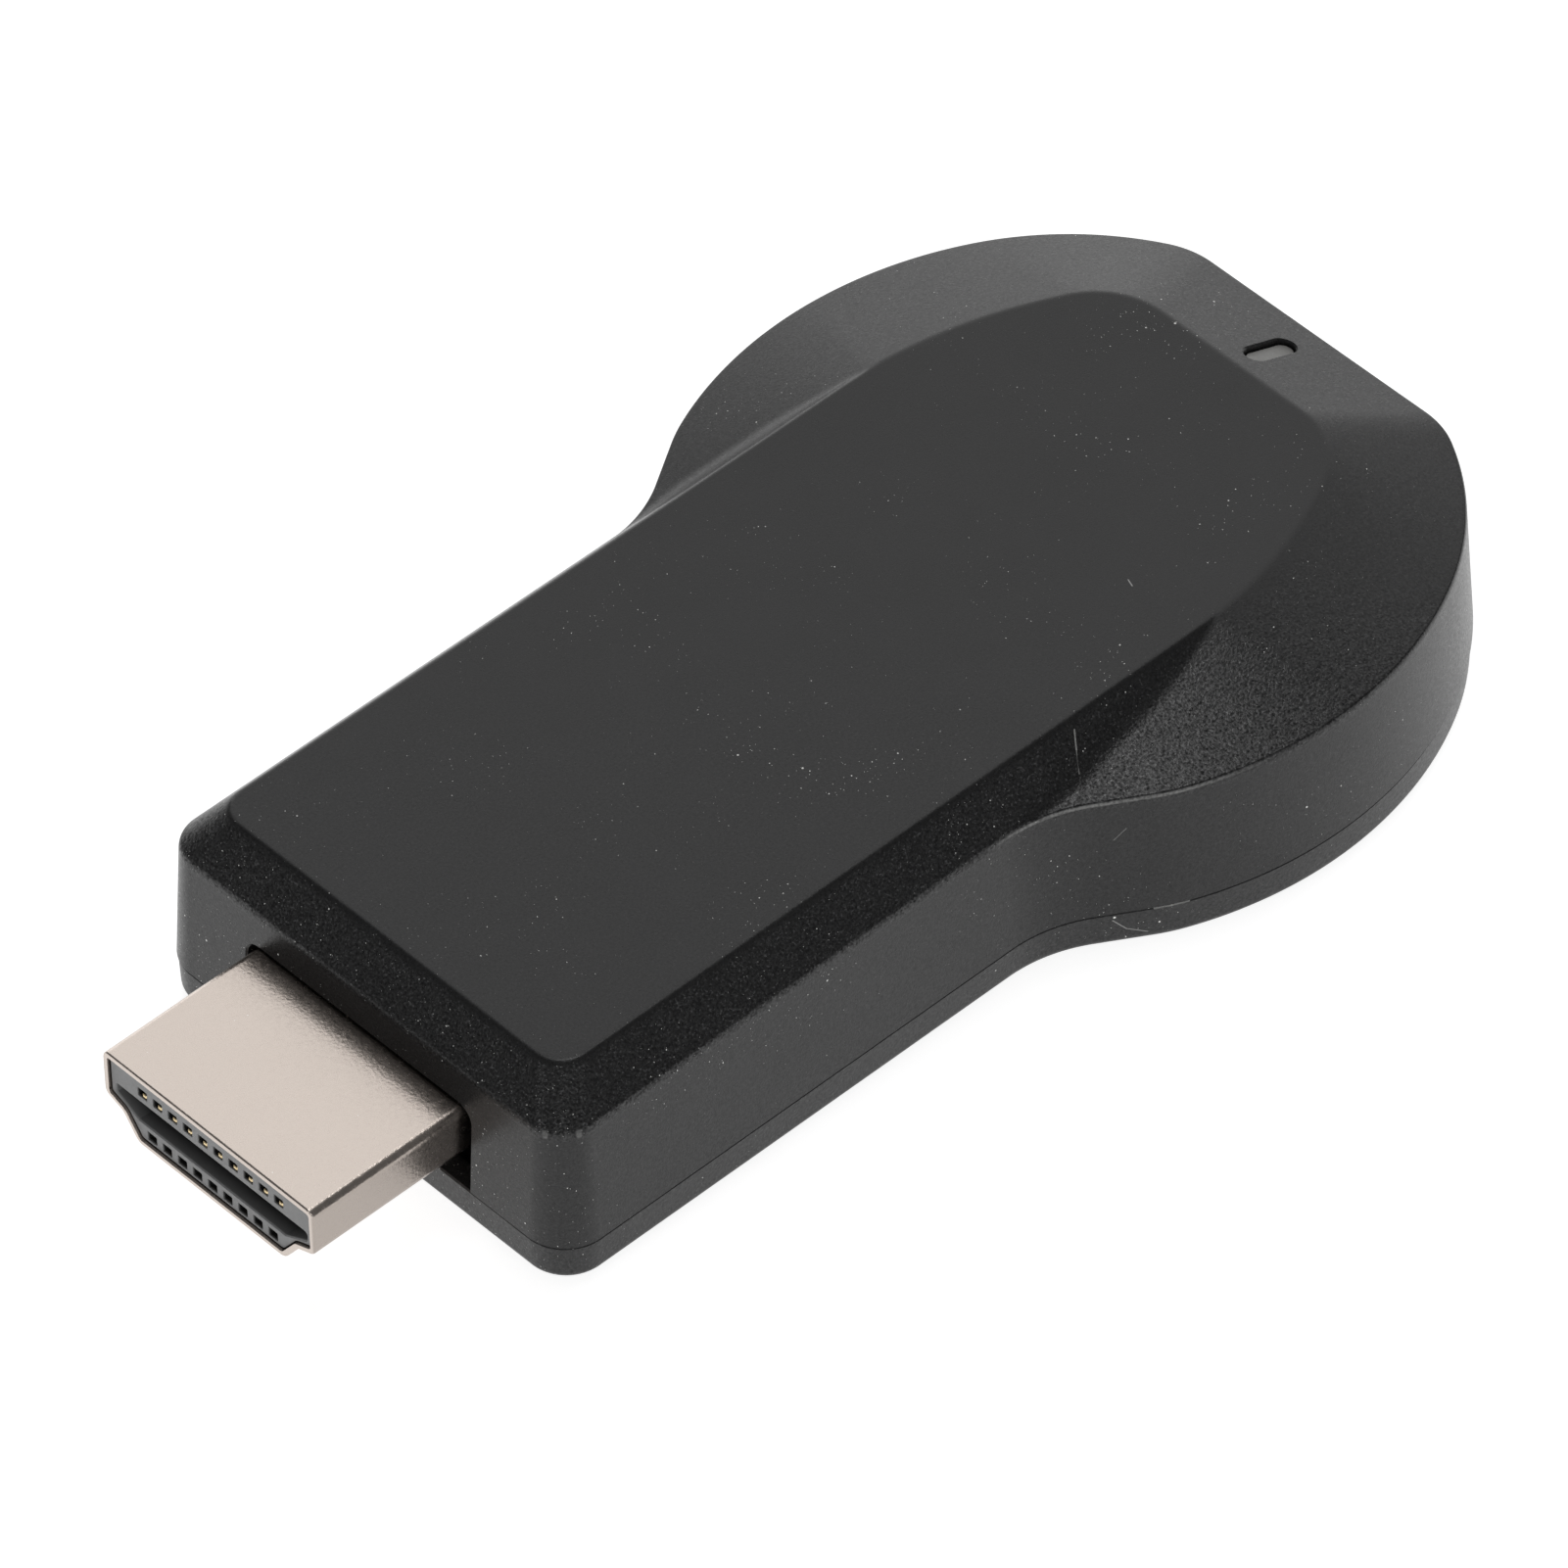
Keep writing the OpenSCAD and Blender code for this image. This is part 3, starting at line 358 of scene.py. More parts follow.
def top_ring(t, d=0):
    """Half ring on the top: a share t of the way up the slope, then d in over the plateau's edge."""
    flat = rim + (plateau - rim) * np.reshape(t, (-1, 1)) if d == 0 else plateau_half(d)
    z = slope_z(t) + edge_rise * d
    return lifted(flat, -smooth_max(-z, np.full(len(flat), -total_h), edge_rise * edge_soft))


# Meshes

def shade(mesh):
    """Smooth, but for edges that turn by more than sharp_turn."""
    mesh.polygons.foreach_set("use_smooth", [True] * len(mesh.polygons))
    mesh.set_sharp_from_angle(angle=math.radians(sharp_turn))


def mesh_object(name, points, faces):
    """A smooth mesh from points in millimetres."""
    mesh = bpy.data.meshes.new(name)
    mesh.from_pydata([tuple(p) for p in np.asarray(points) * MM], [], faces)
    work = bmesh.new()
    work.from_mesh(mesh)
    bmesh.ops.recalc_face_normals(work, faces=work.faces)
    work.to_mesh(mesh)
    work.free()
    shade(mesh)
    piece = bpy.data.objects.new(name, mesh)
    bpy.context.scene.collection.objects.link(piece)
    return piece


def flatten(piece):
    """Keeps the large faces of a piece looking flat up to the rounds beside them."""
    weigh = piece.modifiers.new("weigh", "WEIGHTED_NORMAL")
    weigh.keep_sharp = True


def bands(count, n):
    """Faces between count rings of n points."""
    return [(k * n + i, k * n + (i + 1) % n, (k + 1) * n + (i + 1) % n, (k + 1) * n + i)
            for k in range(count - 1) for i in range(n)]


def shell(name, halves):
    """A closed skin over half rings, each joined to its mirror image, with strips across both end rings."""
    rings = [np.vstack([h, (h * [1, -1, 1])[-2:0:-1]]) for h in halves]
    n = len(rings[0])
    faces = bands(len(rings), n)
    for base in (0, (len(rings) - 1) * n):
        for i in range(n // 2):
            far = [base + (n - j) % n for j in (i + 1, i)]
            strip = [base + i, base + i + 1] + far
            faces.append(tuple(dict.fromkeys(strip)))
    return mesh_object(name, np.vstack(rings), faces)


def tube_faces(count, n, closed_ends=True, first=0):
    """Faces over closed rings, numbered from first: ends closed, or the last ring joined to the first."""
    last = (count - 1) * n
    if closed_ends:
        ends = [tuple(range(n)), tuple(range(last, last + n))]
    else:
        ends = [(last + i, last + (i + 1) % n, (i + 1) % n, i) for i in range(n)]
    return [tuple(first + i for i in face) for face in bands(count, n) + ends]


def tube(name, rings, closed_ends=True):
    return mesh_object(name, np.vstack(rings), tube_faces(len(rings), len(rings[0]), closed_ends))


def grown(outline, grow):
    """A closed outline that runs anticlockwise, moved out by grow square to its edges."""
    edge = outline - np.roll(outline, 1, axis=0)
    normal = np.column_stack([edge[:, 1], -edge[:, 0]]) / np.linalg.norm(edge, axis=1)[:, None]
    following = np.roll(normal, -1, axis=0)
    return outline + grow * (normal + following) / (1 + np.sum(normal * following, axis=1))[:, None]


def rounded(corners, radii, n=round_n):
    """A closed outline with each corner rounded by its radius."""
    corners = np.asarray(corners, float)
    points = []
    for before, corner, after, r in zip(np.roll(corners, 1, 0), corners, np.roll(corners, -1, 0), radii):
        if r == 0:
            points.append(corner)
            continue
        back = (before - corner) / np.linalg.norm(before - corner)
        ahead = (after - corner) / np.linalg.norm(after - corner)
        half = math.acos(np.clip(back @ ahead, -1, 1)) / 2
        centre = corner + (back + ahead) / np.linalg.norm(back + ahead) * r / math.sin(half)
        first = corner + back * r / math.tan(half) - centre
        final = corner + ahead * r / math.tan(half) - centre
        start = math.atan2(first[1], first[0])
        turn = (math.atan2(final[1], final[0]) - start + 3 * math.pi) % (2 * math.pi) - math.pi
        angles = start + turn * np.arange(n + 1) / n
        points.extend(centre + r * np.column_stack([np.cos(angles), np.sin(angles)]))
    return np.array(points)


def rectangle(w, h, r, middle=(0, 0)):
    corners = np.array([[-w, -h], [w, -h], [w, h], [-w, h]]) / 2 + middle
    return rounded(corners, [r] * 4)


def pill(w, h, middle=(0, 0)):
    return rectangle(w, h, h / 2 * pill_share, middle)


def cutter(outline, place, steps):
    """A tool for an opening: outline, grown and set in by each step, put in place by place(u, v, out)."""
    rings = [np.array([place(u, v, out) for u, v in grown(outline, grow)]) for grow, out in steps]
    return tube("cutter", rings)


def flare(grow, deep, soft=opening_round):
    """Steps of an opening of this depth, whose outer edge is rounded off by soft."""
    return [(grow, -deep), (grow, -2 * soft), (grow + soft / 4, -soft), (grow + soft, -soft / 4),
            (grow + 2 * soft, soft), (grow + 2 * soft, opening_proud)]


def settle(piece):
    """Turns a piece's modifiers into its mesh."""
    graph = bpy.context.evaluated_depsgraph_get()
    mesh = bpy.data.meshes.new_from_object(piece.evaluated_get(graph))
    piece.modifiers.clear()
    piece.data = mesh


def cut(piece, tools):
    for tool in tools:
        change = piece.modifiers.new("opening", "BOOLEAN")
        change.operation = "DIFFERENCE"
        change.solver = "EXACT"
        change.object = tool
    settle(piece)
    for tool in tools:
        bpy.data.objects.remove(tool)
    shade(piece.data)


# Upper shell

def upper_outside():
    """Half rings of the outside, from within the plateau down to the seam."""
    low = rim_reach / span
    high = 1 - slope_start / span
    slope_low = top_ring(low)
    rim_line = lifted(rim, rim_z)
    wall_top = lifted(outline_half(rim_inset - rim_round * wall_draft), rim_z - rim_round)
    rings = [top_ring(1, d) for d in reversed(inside_steps)]
    rings += [top_ring(1 - d / span) for d in outside_steps]
    rings += [top_ring(low + (high - low) * share) for share in np.linspace(1, 0, slope_n + 1)]
    for s in np.arange(1, rim_n) / rim_n:
        rings.append((1 - s) ** 2 * slope_low + 2 * s * (1 - s) * rim_line + s ** 2 * wall_top)
    return rings + [
        wall_top,
        lifted(outline_half(seam_bevel * wall_draft), seam_z + seam_bevel),
        lifted(outline_half(seam_bevel), seam_z)]


def upper_inside():
    """Half rings of the inside, from the seam over the lip's groove up to the ceiling."""
    lip_inset = wall - lip_t - lip_gap
    lip_top = seam_z + lip_h + lip_gap
    inner_rim_z = rim_z - inner_rim_drop
    inner_rim = outline_half(wall + (inner_rim_z - seam_z) * wall_draft)
    inner_plateau = plateau_half(inner_plateau_inset)
    share = np.clip(crease, inner_crease_low, inner_crease_high)
    inner_crease = inner_rim + (inner_plateau - inner_rim) * share[:, None]
    return [
        lifted(outline_half(lip_inset), seam_z),
        lifted(outline_half(lip_inset), lip_top),
        lifted(outline_half(wall), lip_top),
        lifted(inner_rim, inner_rim_z),
        lifted(inner_crease, np.minimum(slope_z(share), ceiling_z + wall / 2) - wall),
        lifted(inner_plateau, ceiling_z)]


def upper_shell():
    piece = shell("upper_shell", upper_outside() + upper_inside())
    cut(piece, [plug_opening(), light_opening(), socket_opening(), button_opening()])
    return piece


def plug_opening():
    y, low, top = notch_w / 2, seam_z - opening_proud, plug_top + plug_top_gap
    outline = rounded([[-y, low], [y, low], [y, top], [-y, top]], [0, 0, notch_round, notch_round])

    def place(y, z, out):
        return neck_x + (z - seam_z) * wall_draft - out, y, z
    return cutter(outline, place, flare(0, opening_deep))


def light_opening():
    def place(x, y, out):
        return window_x + x, y, rim_z + (end_x - rim_inset - window_x - x) * end_slope + out
    return cutter(pill(window_l + 2 * window_gap, window_w + 2 * window_gap), place, flare(0, window_deep))


def socket_opening():
    outline = rectangle(socket_w + 2 * socket_gap, socket_h + 2 * socket_gap, socket_round,
                        (0, board_z0 + socket_h / 2))
    steps = [(0, -socket_deep), (0, -wall / 4)] + flare(socket_lead, wall / 4 - socket_step)

    def place(y, z, out):
        return end_x - (z - seam_z) * wall_draft + out, y, z
    return cutter(outline, place, steps)


def button_opening():
    outline = pill(button_l + 2 * button_gap, button_h + 2 * button_gap, (0, button_z))

    def place(x, z, out):
        edge = math.sqrt(side_r ** 2 - x ** 2) - side_r + head_w / 2
        return head_x - x, edge - (z - seam_z) * wall_draft + out, z
    return cutter(outline, place, flare(0, opening_deep))


# Lower shell

def lower_shell():
    base = []
    for a in np.radians(np.linspace(0, 90, base_n + 1)):
        inset = base_taper + base_round * (1 - math.cos(a))
        base.append(lifted(outline_half(inset), base_round * (1 - math.sin(a))))
    rings = [
        lifted(outline_half(wall + base_taper), wall),
        lifted(outline_half(wall), seam_z),
        lifted(outline_half(wall), seam_z + lip_h),
        lifted(outline_half(wall - lip_t), seam_z + lip_h),
        lifted(outline_half(wall - lip_t), seam_z),
        lifted(outline_half(base_taper / 2 + seam_bevel), seam_z),
        lifted(outline_half(base_taper / 2), seam_z - seam_bevel)] + base
    piece = shell("lower_shell", rings)
    mouth = rectangle(notch_w, 2 * lip_h, lip_corner_r, (0, seam_z + lip_h))

    def place(y, z, out):
        return neck_x - out, y, z
    cut(piece, [cutter(mouth, place, [(0, -2 * wall), (0, opening_proud)])])
    return piece


# Plug

def plug_section(d):
    """The plug's section moved in by d, as [y, z] points about its middle."""
    w, t, s = plug_w / 2, plug_h / 2, plug_h / 2 - plug_side_h
    right = [[plug_base_w / 2, -t], [w - plug_shelf, s - plug_shelf_drop], [w, s], [w, t]]
    left = [[-y, z] for y, z in reversed(right)]
    radii = [plug_base_round - d, plug_knee_round + d, plug_side_round - d, plug_top_round - d]
    return rounded(grown(np.array(right + left), -d), radii + radii[::-1])


def plug_ring(x, d):
    section = plug_section(d)
    return np.column_stack([np.full(len(section), x), section[:, 0], section[:, 1] + plug_z])


def plug_tube():
    turns = np.radians(np.linspace(0, 90, round_n + 1))
    outer = [(mouth_round * (1 - math.sin(a)), mouth_round * (1 - math.cos(a))) for a in turns]
    inner = [(mouth_inner_round * (1 - math.cos(a)), plug_t - mouth_inner_round * (1 - math.sin(a)))
             for a in turns]
    profile = [(plug_l, 0)] + outer + inner + [(plug_l, plug_t)]
    return tube("plug_tube", [plug_ring(mouth_x + x, d) for x, d in profile], closed_ends=False)


def plug_tab(name, side):
    y0, y1 = side * (plug_w / 2 - plug_t / 2), side * (plug_w / 2 + tab_out)
    outline = rectangle(tab_l, abs(y1 - y0), plug_t, (mouth_x + tab_place + tab_l / 2, (y0 + y1) / 2))
    z = board_z0 + board_t
    return tube(name, [lifted(outline, z), lifted(outline, z + plug_t)])


def pin_places():
    """Middles of the contact holes, as [y, drop below the plug's top]."""
    upper = [(i - (plug_pins - 1) / 2, upper_hole) for i in range(plug_pins)]
    lower = [(i - (plug_pins - 2) / 2, lower_hole) for i in range(plug_pins - 1)]
    return upper + lower


def plug_block():
    """The moulded block in the plug, with the tongue slot and a square hole for each contact."""
    d = plug_t + plug_slack
    piece = tube("plug_block", [
        plug_ring(plug_end, d),
        plug_ring(face_x + block_round, d),
        plug_ring(face_x + block_round / 3, d + block_round / 3),
        plug_ring(face_x, d + block_round)])
    half = plug_w / 2 - plug_t - slot_margin
    slot = rounded([[slot_slant - half, -slot_bottom], [half - slot_slant, -slot_bottom],
                    [half, -slot_top - slot_side], [half, -slot_top], [-half, -slot_top],
                    [-half, -slot_top - slot_side]], [slot_round] * 6, slot_round_n)

    def place(y, z, out):
        return face_x - out, y, plug_top + z
    tools = [cutter(slot, place, flare(0, slot_depth, block_round))]
    for y, drop in pin_places():
        hole = rectangle(hole_w, hole_h, hole_round, (y, -drop))
        tools.append(cutter(hole, place, flare(0, plug_l, block_round / 3)))
    cut(piece, tools)
    return piece


def contact_tips():
    """Rounded ends of the upper contacts, low in their holes and to one side."""
    steps = [(-tip_edge_w, tip_recess), (0, tip_recess + tip_edge_l), (0, tip_recess + tip_l)]
    points = []
    faces = []
    for y, drop in pin_places()[:plug_pins]:
        outline = rectangle(tip_w, tip_h, tip_round, (y - tip_shift, plug_top - drop - tip_drop))
        faces += tube_faces(len(steps), len(outline), first=len(points))
        for grow, deep in steps:
            points += [(face_x + deep, *point) for point in grown(outline, grow)]
    return mesh_object("contact_tips", points, faces)


# Finishes

class Paint:
    """A node material in the making. Lengths inside it are in millimetres."""

    def __init__(self, name, colour, roughness, metallic=0.0, ior=1.5):
        self.material = bpy.data.materials.new(name)
        self.material.use_nodes = True
        self.tree = self.material.node_tree
        self.shader = self.tree.nodes["Principled BSDF"]
        self.shader.inputs["Base Color"].default_value = (*colour, 1)
        self.shader.inputs["Roughness"].default_value = roughness
        self.shader.inputs["Metallic"].default_value = metallic
        self.shader.inputs["IOR"].default_value = ior
        place = self.tree.nodes.new("ShaderNodeTexCoord").outputs["Object"]
        self.place = self.vector("SCALE", place, scale=1 / MM)

    def link(self, value, socket):
        if isinstance(value, bpy.types.NodeSocket):
            self.tree.links.new(value, socket)
        else:
            socket.default_value = value

    def math(self, operation, *values, clamp=False):
        step = self.tree.nodes.new("ShaderNodeMath")
        step.operation = operation
        step.use_clamp = clamp
        for value, socket in zip(values, step.inputs):
            self.link(value, socket)
        return step.outputs[0]

    def product(self, first, *others):
        for other in others:
            first = self.math("MULTIPLY", first, other)
        return first

    def vector(self, operation, *values, scale=None):
        step = self.tree.nodes.new("ShaderNodeVectorMath")
        step.operation = operation
        for value, socket in zip(values, step.inputs):
            self.link(value, socket)
        if scale is not None:
            self.link(scale, step.inputs["Scale"])
        return step.outputs["Value" if operation in ("LENGTH", "DOT_PRODUCT") else "Vector"]

    def noise(self, pitch, detail=2.0, stretch=(1, 1, 1)):
        """Noise between 0 and 1 whose waves are about pitch long."""
        step = self.tree.nodes.new("ShaderNodeTexNoise")
        step.inputs["Scale"].default_value = 1 / pitch
        step.inputs["Detail"].default_value = detail
        self.link(self.vector("MULTIPLY", self.place, stretch), step.inputs["Vector"])
        return step.outputs["Fac"]

    def cells(self, size):
        """Distance to the nearest of scattered points, as a share of size, and that point's own colour."""
        step = self.tree.nodes.new("ShaderNodeTexVoronoi")
        step.inputs["Scale"].default_value = 1 / size
        self.link(self.place, step.inputs["Vector"])
        return step.outputs["Distance"], step.outputs["Color"]

    def channel(self, colour):
        step = self.tree.nodes.new("ShaderNodeSeparateColor")
        self.link(colour, step.inputs["Color"])
        return step.outputs["Red"]

    def axis(self, letter):
        step = self.tree.nodes.new("ShaderNodeSeparateXYZ")
        self.link(self.place, step.inputs["Vector"])
        return step.outputs[letter]

    def distance(self, letter, middle):
        """How far from middle along one axis."""
        return self.math("ABSOLUTE", self.math("SUBTRACT", self.axis(letter), middle))

    def spread(self, value, low, high, to_low=0.0, to_high=1.0):
        step = self.tree.nodes.new("ShaderNodeMapRange")
        step.inputs["From Min"].default_value = low
        step.inputs["From Max"].default_value = high
        step.inputs["To Min"].default_value = to_low
        step.inputs["To Max"].default_value = to_high
        self.link(value, step.inputs["Value"])
        return step.outputs["Result"]

    def mix(self, share, first, second):
        step = self.tree.nodes.new("ShaderNodeMix")
        step.data_type = "RGBA"
        self.link(share, step.inputs["Factor"])
        for value, socket in ((first, step.inputs["A"]), (second, step.inputs["B"])):
            self.link(value if isinstance(value, bpy.types.NodeSocket) else (*value, 1), socket)
        return step.outputs["Result"]

    def colour(self, tone):
        self.link(tone, self.shader.inputs["Base Color"])

    def patchy(self, pitch, low, high):
        """Roughness between low and high, in patches about pitch long."""
        self.link(self.spread(self.noise(pitch), 0.3, 0.7, low, high), self.shader.inputs["Roughness"])

    def bump(self, height, depth):
        """Adds relief whose full height is depth, over any relief that is there already."""
        step = self.tree.nodes.new("ShaderNodeBump")
        step.inputs["Distance"].default_value = depth * MM
        self.link(height, step.inputs["Height"])
        for found in self.shader.inputs["Normal"].links:
            self.link(found.from_socket, step.inputs["Normal"])
        self.link(step.outputs["Normal"], self.shader.inputs["Normal"])

    def streak(self, start, stop, width):
        """1 on the line from start to stop, falling to 0 at width from it."""
        start, stop = np.array(start, float), np.array(stop, float)
        length = np.linalg.norm(stop - start)
        direction = tuple((stop - start) / length)
        offset = self.vector("SUBTRACT", self.place, tuple(start))
        along = self.vector("DOT_PRODUCT", offset, direction)
        reached = self.product(self.math("DIVIDE", along, length, clamp=True), length)
        nearest = self.vector("SCALE", direction, scale=reached)
        gap = self.vector("LENGTH", self.vector("SUBTRACT", offset, nearest))
        return self.spread(gap, width / 2, width, 1, 0)


def times(colour, share):
    return tuple(min(1, c * share) for c in colour)


# Dust, its clusters, and for each size of speck the spacing and the radius; the dust's colour also paints
# the highlights
dust_and_highlight_colour = (0.8, 0.8, 0.78)
dust_cluster = 6
dust_sizes = ((0.9, 0.06), (0.4, 0.034), (0.2, 0.018))


def dusty(paint, colour, amount, cell, speck_r):
    """Adds clustered white dust specks to a colour: amount is the share of cells that may hold one."""
    distance, tint = paint.cells(cell)
    chosen = paint.math("LESS_THAN", paint.channel(tint), amount)
    clustered = paint.spread(paint.noise(dust_cluster), 0.35, 0.7)
    by_plug = paint.spread(paint.axis("X"), neck_x + dust_cluster, neck_x + 1, 0, 0.75)
    size = paint.product(paint.math("MAXIMUM", clustered, by_plug), speck_r / cell)
    speck = paint.product(paint.math("LESS_THAN", distance, size), chosen)
    return paint.mix(speck, colour, dust_and_highlight_colour)


# Moulded grain: its strength where nothing calms it, and its fine painted sparkle, pits, stipple and glint
plain_grain = 0.4
painted_sparkle_pitch = 0.12
painted_sparkle_share = 0.36
painted_sparkle_light = 12
blotch_pitch = 2.5
pit_pitch = 0.13
pit_depth = 0.02
pit_glint = 1.8
stipple_pitch = 0.06
stipple_depth = 0.008
rough_pitch = 0.16
rough_range = 0.06


def moulded(name, colour, roughness, grain=1.0, dust=0.7, calm=None, marks=(), painted_highlight=None):
    """Charcoal plastic: spark-eroded grain, painted sparkle and highlights, a faint stipple, dust and
    marks.

    calm(paint) gives the strength of grain and painted sparkle over it; the last argument a painted
    highlight.
    """
    paint = Paint(name, colour, roughness, ior=1.39)
    level = calm(paint) if calm else plain_grain
    # Painted highlight: bright specks painted into the colour stand in for glints of light off the grain
    painted_sparkle = paint.product(paint.spread(paint.noise(painted_sparkle_pitch, 1), 0.6, 0.74), level, painted_sparkle_share)
    blotch = paint.mix(paint.noise(blotch_pitch, 3), times(colour, 0.7), times(colour, 1.2))
    tone = paint.mix(painted_sparkle, blotch, times(colour, painted_sparkle_light))
    if dust:
        for cell, speck_r in dust_sizes:
            tone = dusty(paint, tone, dust, cell, speck_r)
    if painted_highlight:
        # Painted highlight along the rim's rounding, in the dust's colour
        tone = paint.mix(painted_highlight(paint), tone, dust_and_highlight_colour)
    for start, stop, width, strength in marks:
        share = paint.product(paint.streak(start, stop, width), strength)
        tone = paint.mix(share, tone, dust_and_highlight_colour)
    paint.colour(tone)
    paint.patchy(rough_pitch, roughness - rough_range, roughness + rough_range)
    pits = paint.noise(pit_pitch, 1)
    glint = paint.product(paint.math("SUBTRACT", pits, 0.5), level, pit_glint)
    paint.link(paint.math("ADD", glint, 0.5, clamp=True), paint.shader.inputs["Specular IOR Level"])
    paint.bump(paint.product(pits, level), pit_depth * grain)
    paint.bump(paint.noise(stipple_pitch, 1), stipple_depth * grain)
    return paint


def grain_and_painted_sparkle(paint):
    """Full grain and painted sparkle on the neck's end and near side slopes, less on plateau, walls, far
    side.
    """
    top = paint.spread(paint.axis("Z"), total_h - 0.3, total_h - 0.05, 1, 0.15)
    across = paint.math("ADD", paint.product(paint.axis("X"), 0.7), paint.axis("Y"))
    side = paint.spread(across, -6, 4, 1, 0.25)
    wall_part = paint.spread(paint.axis("Z"), rim_z - 0.5, rim_z, 0.25, 1)
    return paint.product(top, side, wall_part)


def rim_painted_highlight(paint):
    """Painted highlight: a thin line just under the rim along the near side of the waist, broken up by the
    grain.
    """
    highlight_line = paint.spread(paint.distance("Z", rim_z - 0.13), 0.04, 0.11, 0.2, 0)
    starts = paint.spread(paint.axis("X"), waist_x - 1, waist_x + 1)
    ends = paint.spread(paint.axis("X"), flank_top[0] + 1, flank_top[0] + 6, 1, 0)
    near = paint.math("LESS_THAN", paint.axis("Y"), 0)
    patchy = paint.spread(paint.noise(0.15, 1), 0.3, 0.6, 0.4, 1)
    return paint.product(highlight_line, starts, ends, near, patchy)


def plated(name, colour, roughness, relief=0.006, flank=None):
    """Bright metal plate with a fine orange peel and a faint tarnish, with painted shade on its flanks past
    flank.
    """
    paint = Paint(name, colour, roughness, metallic=1.0)
    tone = paint.mix(paint.noise(3), times(colour, 0.97), colour)
    if flank:
        # Painted shade: the plate is painted darker on its flanks past flank
        painted_shade_side = paint.spread(paint.distance("Y", 0), flank - 0.1, flank)
        tone = paint.mix(painted_shade_side, tone, times(colour, 0.68))
    paint.colour(dusty(paint, tone, 0.3, 0.7, 0.035))
    paint.patchy(0.3, roughness - 0.03, roughness + 0.03)
    paint.bump(paint.noise(0.16), relief)
    return paint


def plain_plastic(name, colour, roughness, pitch=0.2, relief=0.004):
    """Moulded plastic with a faint mottle and a soft surface."""
    mottle = 1.2
    paint = Paint(name, colour, roughness)
    paint.colour(paint.mix(paint.noise(pitch * 3, 3), times(colour, 1 / mottle), times(colour, mottle)))
    paint.patchy(pitch, roughness - 0.06, roughness + 0.08)
    paint.bump(paint.noise(pitch), relief)
    return paint


def insulator(name, colour, roughness):
    """Grey moulding with painted shade that darkens it into its holes and slot."""
    painted_shade_colour = (0.01, 0.01, 0.01)
    paint = plain_plastic(name, colour, roughness)
    slot_middle = plug_top - (slot_top + slot_bottom) / 2
    # Painted shade: the colour falls to near black with depth inside the slot and the holes
    in_slot = paint.math("LESS_THAN", paint.distance("Z", slot_middle), (slot_bottom - slot_top) / 2 + 0.1)
    slot_painted_shade = paint.product(paint.spread(paint.axis("X"), face_x + 0.1, face_x + 0.9), in_slot)
    hole_painted_shade = paint.spread(paint.axis("X"), face_x + 0.03, face_x + 0.12)
    outside = paint.math("SUBTRACT", 1.0, in_slot)
    # Share of painted shade, deep in the slot or in a hole
    deep = paint.math("ADD", slot_painted_shade, paint.product(hole_painted_shade, outside))
    lit = paint.mix(paint.noise(0.6, 3), times(colour, 0.85), colour)
    paint.colour(paint.mix(deep, lit, painted_shade_colour))
    return paint


def laminate(name):
    """Green solder mask over faint copper runs."""
    mask = (0.012, 0.10, 0.045)
    over_copper = (0.02, 0.17, 0.07)
    paint = plain_plastic(name, mask, 0.28)
    runs = paint.spread(paint.noise(0.9, 0, (1, 6, 1)), 0.5, 0.53)
    paint.colour(paint.mix(paint.product(runs, 0.5), mask, over_copper))
    paint.bump(runs, 0.02)
    return paint


def seam_point(i):
    """Point i of the outline, on the near side, on the lower edge of the seam."""
    x, y = outline_half((base_taper + seam_bevel) / 2)[i]
    return x, -y, seam_z - seam_bevel / 2


def corner_painted_highlight(degrees):
    """A painted highlight on the rim and just below it, at an angle round the neck's near corner."""
    size = 0.18
    strength = 0.1
    r = neck_corner_r - rim_inset
    x, y = corner_c + r * toward(degrees)
    low_x, low_y = corner_c + (r + size / 4) * toward(degrees)
    return (x, -y, rim_z), (low_x, -low_y, rim_z - size), size, strength


# Light marks that the photograph shows, each as start, end, width and strength
scratch_bend = (6.82, -12.17, 10.23)
scratch = [
    ((7.19, -11.66, 10.84), scratch_bend, 0.05, 0.3),
    (scratch_bend, (6.29, -12.9, 9.57), 0.04, 0.22)]
wall_mark = ((6.46, -14.92, 6.67), (6.97, -15.21, 7.26), 0.035, 0.14)
plateau_dash = ((15.24, -6.88, total_h), (15.1, -7.28, total_h), 0.035, 0.5)
seam_middle = seam_point(lead_first + fine)
seam_dust = [
    (seam_point(lead_first), seam_middle, 0.07, 0.4),
    (seam_middle, seam_point(lead_first + lead_n), 0.07, 0.4)]
hair_bend = (6.84, -15.36, 1.01)
hair = [
    ((6.28, -15.05, 1.69), hair_bend, 0.035, 0.3),
    (hair_bend, (7.69, -15.88, 0.58), 0.03, 0.3)]
# The two marks at the neck's near corner are painted highlights on the rim's rounding
upper_marks_and_highlights = [*scratch, wall_mark, plateau_dash, corner_painted_highlight(156), corner_painted_highlight(109)]
lower_marks = [*seam_dust, *hair]

